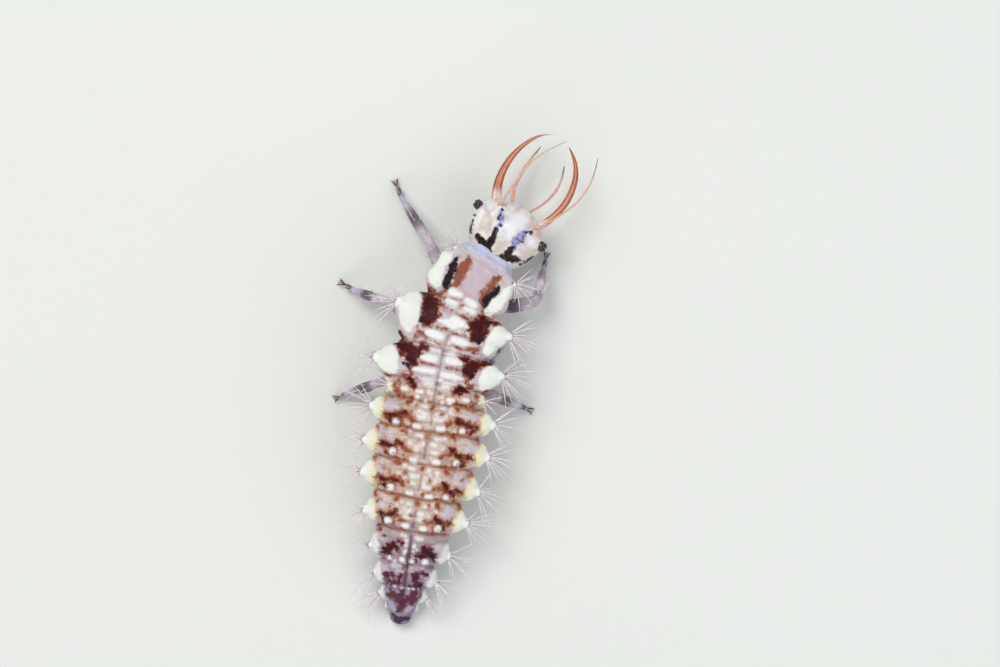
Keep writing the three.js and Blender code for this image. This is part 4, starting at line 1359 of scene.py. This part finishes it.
class LARVA_OT_skin(bpy.types.Operator):
    """Models the soft skin of the whole trunk, with its lobes, folds and marks"""

    bl_idname = "larva.skin"
    bl_label = "Skin"

    def execute(self, context):
        settings = context.scene.larva_skin

        def surface(around, along):
            arc = ARCS[-1] * along
            station = np.interp(arc, ARCS, STATIONS)
            tail = np.clip(along / TAIL_ROUND, 0, 1)
            points, numbers = skin_surface(
                station, skin_angle(around), settings.groove / MM, settings.crease / MM
            )
            middle = body_frame(station)[0]
            closing = np.sqrt(1 - (1 - tail) ** 2)[:, None]
            closing *= np.where(along > 1 - 1e-6, 0, 1)[:, None]
            points = middle + (points - middle) * closing
            points[:, 2] = np.maximum(points[:, 2], 0)
            return to_frame(points), numbers

        piece = rolled("skin", settings.around, settings.along, surface)
        dress(piece, skin_material(settings), "body_skin", *NAMES)
        return {"FINISHED"}


# Head


def head_surface(around, along):
    """Points of the head in its own axes at shares around and from the back to the front, with the
    numbers that its colours need."""
    back = np.clip(along / HEAD_CAP, 0, 1) * np.pi / 2
    front = np.clip((1 - along) / HEAD_CAP, 0, 1) * np.pi / 2
    core = np.clip((along - HEAD_CAP) / (1 - 2 * HEAD_CAP), 0, 1)
    width, forward, height = HEAD_CURVE.at(core * (len(HEAD_OUTLINE) - 1))[0].T
    forward = forward - HEAD_BULGE * np.cos(back) + HEAD_BULGE * np.cos(front)
    close = np.sin(back) * np.sin(front)
    angle = skin_angle(around)
    across = warp(np.cos(angle), HEAD_SQUARENESS[0]) * width * close
    upward = warp(np.sin(angle), HEAD_SQUARENESS[1]) * height * close
    upward = upward * np.where(np.sin(angle) < 0, HEAD_CHIN, 1)
    top = np.sin(angle) > 0
    numbers = {}
    lift = np.zeros(len(across))
    for colour, strokes in HEAD_MARKS.items():
        depth = strokes_depth([plain(line) for line in strokes], across, forward)
        numbers[colour] = np.where(top, depth, -1)
        lift += HEAD_RELIEF.get(colour, 0) * rise(numbers[colour], -0.04, 0.06)
    swell = np.zeros(len(across))
    for side, ahead, wide, long, height in HEAD_SWELLINGS:
        away = ((np.abs(across) - side) / wide) ** 2 + ((forward - ahead) / long) ** 2
        swell += height * np.exp(-away)
    ring = np.hypot(np.abs(across) - SOCKET[0], forward - SOCKET[1])
    swell += SOCKET_RIM[1] * ridge(ring, SOCKET[2], SOCKET_RIM[0])
    lift += swell * rise(np.sin(angle), 0.0, 0.35)
    # Share of the underside, where painted shade darkens the head.
    numbers["under"] = rise(-np.sin(angle), 0.0, 0.3)
    return np.stack([across, forward, upward + lift], 1), numbers


class LARVA_OT_head(bpy.types.Operator):
    """Models the flat shell of the head with its sockets and painted bands"""

    bl_idname = "larva.head"
    bl_label = "Head"

    def execute(self, context):
        settings = context.scene.larva_head

        def surface(around, along):
            points, numbers = head_surface(around, along)
            return on_head(points), numbers

        piece = rolled("head_shell", settings.around, settings.along, surface)
        dress(piece, head_material(settings), "head_shell", "head")
        return {"FINISHED"}


class LARVA_OT_eyes(bpy.types.Operator):
    """Models both eyes as a dark mound set with round lenses"""

    bl_idname = "larva.eyes"
    bl_label = "Eyes"

    def execute(self, context):
        material = eye_material(context.scene.larva_head)
        for side, name in ((-1, "eye_left"), (1, "eye_right")):
            centre = np.array([side * EYE[0], EYE[1], EYE[2]])
            outward = unit(np.array(EYE_OUTWARD) * [side, 1, 1])
            forward = np.array([0.0, 1.0, 0.0])
            upward = np.cross(forward, outward) * side
            spots = [(centre, EYE_MOUND, EYE_STRETCH)]
            for ahead, over in EYE_LENSES:
                bulge = math.sqrt(EYE_MOUND**2 - min(ahead**2 / 1.5 + over**2, 0.8 * EYE_MOUND**2))
                spots.append((centre + ahead * forward + over * upward + outward * bulge, EYE_LENS, 1))
            balls = []
            for spot, radius, stretch in spots:
                place = on_head(spot[None])[0]
                bpy.ops.object.select_all(action="DESELECT")
                bpy.ops.mesh.primitive_uv_sphere_add(
                    segments=EYE_FACES[0], ring_count=EYE_FACES[1], radius=radius * MM, location=place
                )
                bpy.context.object.scale = (1, stretch, 1)
                balls.append(bpy.context.object)
            piece = joined(name + "_lenses", balls)
            bpy.ops.object.transform_apply(location=True, rotation=True, scale=True)
            bpy.ops.object.shade_smooth()
            dress(piece, material, "eye", name)
        return {"FINISHED"}


def limb_numbers(piece, curve):
    """Stores how far along its curve each point of a limb of the head lies. Gives the points, the
    nearest places of the curve and those shares."""
    line = on_head(curve.at(curve.shares(60))[0])
    points = points_of(piece)
    share, nearest = share_along(points, line)
    set_numbers(piece, "along", share)
    return points, nearest, share


class LARVA_OT_jaws(bpy.types.Operator):
    """Models the two sickle jaws with the seam along their upper side"""

    bl_idname = "larva.jaws"
    bl_label = "Jaws"

    def execute(self, context):
        material = horn_material(context.scene.larva_head)
        right = head_turn() @ [1.0, 0, 0]
        for name, points in JAWS.items():
            side = 1 if name.endswith("right") else -1
            curve = Curve(np.array(points) / 100)
            shares = np.linspace(0, 1, JAW_RINGS)
            radii = [(share, np.interp(share, *zip(*JAW_RADII))) for share in shares]
            piece = lofted(name + "_horn", rings_along(curve, radii, JAW_FLATNESS), LIMB_SIDES)
            places, nearest, share = limb_numbers(piece, curve)
            offset = places - nearest
            size = np.interp(share, *zip(*JAW_RADII)) * MM
            outer = (offset @ right) * side / size
            set_numbers(piece, "outer", outer)
            seam = ridge(outer, *JAW_SEAM) * rise(share, 0.02, 0.12) * rise(1 - share, 0.04, 0.3)
            places -= offset * (JAW_GROOVE * seam * (offset[:, 2] > 0))[:, None]
            move_points(piece, places)
            dress(piece, material, "jaw", name)
        return {"FINISHED"}


class LARVA_OT_feelers(bpy.types.Operator):
    """Models the antennae and the palps"""

    bl_idname = "larva.feelers"
    bl_label = "Feelers"

    def execute(self, context):
        material = feeler_material(context.scene.larva_head)
        for curves, radii in ((ANTENNAE, ANTENNA_RADII), (PALPS, PALP_RADII)):
            for name, points in curves.items():
                curve = Curve(np.array(points) / 100)
                shares = sorted({share for share, _ in radii} | set(np.linspace(0, 1, FEELER_RINGS)))
                fine = [(share, np.interp(share, *zip(*radii))) for share in shares]
                piece = lofted(name + "_joints", rings_along(curve, fine), LIMB_SIDES, levels=1)
                limb_numbers(piece, curve)
                dress(piece, material, "feeler", name)
        return {"FINISHED"}


# Legs


def leg_joints(name):
    """Root, hip, knee, ankle and toe of a leg."""
    segment, *plan = LEGS[name]
    side = -1 if name.endswith("left") else 1
    angle = -math.pi / 2 + side * math.radians(90 - LEG_ROOT_ANGLE)
    station = np.array([station_of(segment, LEG_ROOT_AT)])
    point, _, right, up = body_frame(station)
    width, height = halves(station)
    across = warp(math.cos(angle), SQUARENESS) * width * LEG_ROOT_DEPTH
    upward = warp(math.sin(angle), SQUARENESS) * height * BELLY_FLATNESS * LEG_ROOT_DEPTH
    root = point + right * across[:, None] + up * upward[:, None]
    return [root[0]] + [np.array([*spot, z]) for spot, z in zip(plan, LEG_HEIGHTS)]


class LARVA_OT_legs(bpy.types.Operator):
    """Models the six legs with their claws and soles"""

    bl_idname = "larva.legs"
    bl_label = "Legs"

    def execute(self, context):
        settings = context.scene.larva_legs
        flesh = leg_material(settings)
        horn = foot_material("larva_claw", settings.claw, settings.claw_light, 0.22, 0.002, 0.3)
        sole = foot_material("larva_sole", settings.sole, settings.sole_light, 0.35, 0.003, 0.4)
        for name in LEGS:
            joints = leg_joints(name)
            ways = [unit(end - start) for start, end in zip(joints[:-1], joints[1:])]
            rings = []
            for joint, share, radius in LEG_RINGS:
                centre = joints[joint] + share * (joints[joint + 1] - joints[joint])
                way = ways[joint]
                if share < JOINT_ENDS[0] and joint:
                    way = unit(ways[joint - 1] + way)
                if share > JOINT_ENDS[1] and joint < 3:
                    way = unit(ways[joint + 1] + way)
                rings.append((Vector(to_frame(centre)), Vector(way), radius * MM, 1.0))
            piece = lofted(name + "_limb", rings, settings.sides)
            points = points_of(piece)
            share, nearest = share_along(points, to_frame(np.array(joints)))
            lift = unit(points - nearest)[:, 2]
            band = np.zeros(len(share))
            for middle, half, strength, spread in LEG_BANDS[name]:
                strength = strength * rise(lift, 1 - 2.4 * spread, 1.4 - 2.4 * spread)
                fade = rise(np.abs(share - middle), 0.2 * half, 1.7 * half)
                band = np.maximum(band, strength * (1 - fade))
            set_numbers(piece, "band", band)
            set_numbers(piece, "blue", rise(share, BLUE_FROM, BLUE_FROM + 0.1))
            dress(piece, flesh, "leg", name)
            self.foot(name, joints, horn, sole)
        return {"FINISHED"}

    def foot(self, name, joints, horn, sole):
        """Two claws that curve down to the floor, with a sole between them."""
        toe = joints[-1]
        heading = unit((toe - joints[-2]) * [1, 1, 0])
        claws = []
        for spread in (-CLAW_SPREAD, CLAW_SPREAD):
            turn = np.array(Matrix.Rotation(math.radians(spread), 3, "Z"))
            way = turn @ heading
            claws.append(lofted("claw", self.rings(toe, way, CLAW_RINGS), CLAW_SIDES))
        dress(joined(name + "_claws", claws), horn, "leg")
        pad = lofted(name + "_sole", self.rings(toe, heading, PAD_RINGS), LIMB_SIDES)
        points = points_of(pad)
        points[:, 2] = np.maximum(points[:, 2], 0)
        move_points(pad, points)
        dress(pad, sole, "leg")

    def rings(self, toe, way, sizes):
        """Rings from the toe outwards: distance along the way, height over the floor and radius."""
        line = [np.array([*(toe + way * out)[:2], height]) for out, height, _ in sizes]
        ahead = [unit(line[min(i + 1, len(line) - 1)] - line[max(i - 1, 0)]) for i in range(len(line))]
        return [(Vector(to_frame(p)), Vector(a), s[2] * MM, 1.0) for p, a, s in zip(line, ahead, sizes)]


# Bristles


def bristles(name, hairs, widths, radius):
    """One mesh of curved, tapering bristles. A hair is its root, way, length, bend and its root's place
    on the unwrapped skin. widths are their radii as shares of the longest ones'."""
    roots, ways, lengths, bends, patches = (np.array(column) for column in zip(*hairs))
    roots, radii, lengths = to_frame(roots), radius * np.array(widths), lengths * MM
    height = (roots + (ways + bends) * lengths[:, None])[:, 2]
    lift = np.clip(height, FLOOR_GAP * MM, BRISTLE_TOP * MM) - height
    ways = ways + (lift / lengths)[:, None] * [0, 0, 1.0]
    t = np.linspace(0, 1, BRISTLE_RINGS)
    turn = 2 * np.pi * np.arange(BRISTLE_SIDES) / BRISTLE_SIDES
    side = unit(np.cross(ways, [0.31, 0.22, 0.92]))
    top = np.cross(side, ways)
    spine = (
        roots[:, None, :]
        + ways[:, None, :] * (lengths[:, None] * t)[:, :, None]
        + bends[:, None, :] * (lengths[:, None] * t**2)[:, :, None]
    )
    ring = side[:, None, :] * np.cos(turn)[None, :, None] + top[:, None, :] * np.sin(turn)[None, :, None]
    widths = radii[:, None] * np.interp(t, *BRISTLE_TAPER)
    places = (spine[:, :, None, :] + ring[:, None] * widths[:, :, None, None]).reshape(-1, 3)
    share = np.broadcast_to(t[None, :, None], (len(roots), BRISTLE_RINGS, BRISTLE_SIDES)).ravel()
    corners = np.arange(BRISTLE_RINGS * BRISTLE_SIDES).reshape(BRISTLE_RINGS, BRISTLE_SIDES)
    beside = np.roll(corners, -1, 1)
    quads = np.stack([corners[:-1], beside[:-1], beside[1:], corners[1:]], -1).reshape(-1, 4).tolist()
    sheath = [*quads, corners[0, ::-1].tolist(), corners[-1].tolist()]
    starts = range(0, len(places), corners.size)
    faces = [[start + i for i in face] for start in starts for face in sheath]
    mesh = bpy.data.meshes.new(name)
    mesh.from_pydata(places.tolist(), [], faces)
    piece = bpy.data.objects.new(name, mesh)
    bpy.context.scene.collection.objects.link(piece)
    set_numbers(piece, "along", share)
    layer = mesh.uv_layers.new(name="OFBake")
    corner = np.empty(len(mesh.loops), np.int32)
    mesh.loops.foreach_get("vertex_index", corner)
    around = corner % BRISTLE_SIDES / BRISTLE_SIDES
    uv = patches[corner // corners.size] + 0.003 * (np.stack([around, share[corner]], 1) - 0.5)
    layer.data.foreach_set("uv", np.clip(uv, 0, 1).astype(np.float32).ravel())
    activate(piece)
    bpy.ops.object.shade_smooth()
    return piece


def skin_spot(station, angle):
    """Point and outward normal of the skin at stations and angles."""
    here = skin_surface(station, angle)[0]
    ahead = skin_surface(station + 0.01, angle)[0] - here
    round_ = skin_surface(station, angle + 0.01)[0] - here
    return here, unit(np.cross(ahead, round_))


class LARVA_OT_bristles(bpy.types.Operator):
    """Plants the bristles of the lobes, back and legs"""

    bl_idname = "larva.bristles"
    bl_label = "Bristles"

    def execute(self, context):
        settings = context.scene.larva_bristles
        rng = np.random.default_rng(settings.seed)
        material = bristle_material(settings)
        body = self.tufts(rng) + self.short_hairs(rng)
        legs = self.leg_hairs(rng)
        widths = [1.0 if hair[2] > THIN_UNDER else THIN for hair in body]
        dress(bristles("body_bristles", body, widths, settings.radius), material, "body_skin")
        widths = [LEG_BRISTLE] * len(legs)
        dress(bristles("leg_bristles", legs, widths, settings.radius), material, "leg")
        return {"FINISHED"}

    def tufts(self, rng):
        """Fans of long bristles on the knobs."""
        hairs = []
        for (name, places, reaches, radius, lift), (count, length, lean) in zip(KNOBS, TUFTS):
            for side, at, reach in zip(BOTH, places, reaches):
                station = np.array([station_of(name, at)])
                point, forward, right, up = (v[0] for v in body_frame(station))
                out = right * side * math.cos(math.radians(lift)) + up * math.sin(math.radians(lift))
                centre = point + out * (reach - radius)
                for k in range(count):
                    fan = (k + 0.5) / count * 2 - 1 + rng.uniform(-0.1, 0.1)
                    pitch = rng.uniform(-0.3, 0.6)
                    ahead = math.sin(FAN * fan) + lean
                    way = unit(out * math.cos(FAN * fan) + forward * ahead + up * pitch)
                    size = length * rng.uniform(0.6, 1.1) * (1 - 0.15 * abs(fan))
                    bend = up * rng.uniform(-0.25, 0.05) + forward * rng.uniform(-0.25, 0.08)
                    turn = (lift if side > 0 else 180 - lift) / 360 + 0.25 + 0.01 * fan
                    patch = (turn, arc_of(station)[0] / ARCS[-1])
                    hairs.append((centre + way * radius * 0.9, way, size, bend, patch))
        return hairs

    def short_hairs(self, rng):
        """Short bristles over the back."""
        spots = []
        names = CHAINED + " abdomen_6 abdomen_7 abdomen_1 metathorax mesothorax prothorax"
        for name in names.split():
            for at, share in SHORT_BRISTLES:
                for side in BOTH:
                    station = station_of(name, at + rng.uniform(-0.03, 0.03))
                    over = math.asin(share + rng.uniform(-0.04, 0.04))
                    spots.append((station, math.pi / 2 - side * over))
        hairs = []
        for spot, normal, (station, angle) in zip(*skin_spot(*np.array(spots).T), spots):
            forward = body_frame(np.array([station]))[1][0]
            way = unit(0.6 * normal + forward * rng.uniform(-1.2, -0.6))
            bend = -0.3 * forward - 0.1 * normal
            patch = ((angle + np.pi / 2) / (2 * np.pi), arc_of(station) / ARCS[-1])
            hairs.append((spot - normal * 0.01, way, rng.uniform(0.05, 0.1), bend, patch))
        return hairs

    def leg_hairs(self, rng):
        """Short bristles around the legs."""
        hairs = []
        for number, name in enumerate(LEGS):
            joints = leg_joints(name)
            for k in range(BRISTLES_ON_LEG):
                joint = 1 + k % 3 if k % 4 else 2
                share = rng.uniform(0.1, 0.95)
                start, end = joints[joint], joints[joint + 1]
                way = unit(end - start)
                radius = np.interp(share, *zip(*((s, r) for j, s, r in LEG_RINGS if j == joint)))
                aside = unit(np.cross(way, [0, 0, 1.0]))
                turn = rng.uniform(-0.35 * np.pi, 1.35 * np.pi)
                out = aside * math.cos(turn) + np.cross(aside, way) * math.sin(turn)
                root = start + share * (end - start) + out * radius * 0.93
                lean = unit(out + way * rng.uniform(0.5, 1.1))
                size = rng.uniform(0.1, 0.22) * (1.2 if joint < 3 else 0.6)
                patch = ((number + turn / (2 * np.pi) % 1) / 6, (joint - 1 + share) / 3)
                hairs.append((root, lean, size, way * 0.3, patch))
        return hairs


# Stage


class LARVA_OT_stage(bpy.types.Operator):
    """Sets the pale floor, soft lights and the camera over the back"""

    bl_idname = "larva.stage"
    bl_label = "Stage"

    def execute(self, context):
        settings = context.scene.larva_stage
        bpy.ops.object.select_all(action="DESELECT")
        bpy.ops.mesh.primitive_plane_add(size=FLOOR_SIDE, location=(0, 0, 0))
        floor = bpy.context.object
        floor.name = "stage_floor"
        bpy.ops.object.transform_apply(location=True, rotation=True, scale=True)
        floor.data.materials.append(floor_material(settings.floor))
        powers = (settings.key, settings.fill, settings.fill * LOW_SHARE)
        for (name, light), power in zip(LIGHTS.items(), powers):
            self.light(name, power, *light)
        world = bpy.data.worlds.new("soft_room")
        world.use_nodes = True
        background = world.node_tree.nodes["Background"]
        background.inputs["Color"].default_value = (*ROOM, 1)
        background.inputs["Strength"].default_value = ROOM_STRENGTH
        context.scene.world = world
        context.scene.view_settings.view_transform = "Standard"
        bpy.ops.object.camera_add()
        camera = bpy.context.object
        camera.name = "view_of_the_back"
        camera.data.lens = settings.lens
        camera.data.sensor_width = CAMERA_SENSOR
        camera.data.clip_start, camera.data.clip_end = CAMERA_CLIP
        distance = settings.view_width * settings.lens / CAMERA_SENSOR
        camera.location = (*CAMERA_OVER, distance + BACK_HEIGHT)
        camera.rotation_euler = (0, 0, math.radians(CAMERA_TURN))
        context.scene.camera = camera
        return {"FINISHED"}

    def light(self, name, power, place, size, colour):
        """A square soft light that looks at the larva."""
        bpy.ops.object.light_add(type="AREA", location=place)
        lamp = bpy.context.object
        lamp.name = name
        lamp.rotation_euler = (-Vector(place)).to_track_quat("-Z", "Y").to_euler()
        lamp.data.size = size
        lamp.data.energy = power
        lamp.data.color = colour


PIECES = (
    LARVA_OT_skin,
    LARVA_OT_head,
    LARVA_OT_eyes,
    LARVA_OT_jaws,
    LARVA_OT_feelers,
    LARVA_OT_legs,
    LARVA_OT_bristles,
    LARVA_OT_stage,
)
SETTINGS = {
    "larva_skin": SkinSettings,
    "larva_head": HeadSettings,
    "larva_legs": LegSettings,
    "larva_bristles": BristleSettings,
    "larva_stage": StageSettings,
}


class LARVA_PT_pieces(bpy.types.Panel):
    """Lists the larva's pieces and sizes"""

    bl_label = "Larva"
    bl_space_type = "VIEW_3D"
    bl_region_type = "UI"
    bl_category = "Larva"

    def draw(self, context):
        for operator in PIECES:
            self.layout.operator(operator.bl_idname)
        for name, group in SETTINGS.items():
            box = self.layout.box()
            for key in group.__annotations__:
                box.prop(getattr(context.scene, name), key)


def register():
    for group in (*SETTINGS.values(), *PIECES, LARVA_PT_pieces):
        bpy.utils.register_class(group)
    for name, group in SETTINGS.items():
        setattr(bpy.types.Scene, name, PointerProperty(type=group))


def unregister():
    for name in SETTINGS:
        delattr(bpy.types.Scene, name)
    for group in (LARVA_PT_pieces, *PIECES, *SETTINGS.values()):
        bpy.utils.unregister_class(group)


def main():
    register()
    for operator in PIECES:
        group, name = operator.bl_idname.split(".")
        getattr(getattr(bpy.ops, group), name)()


if __name__ == "__main__":
    main()
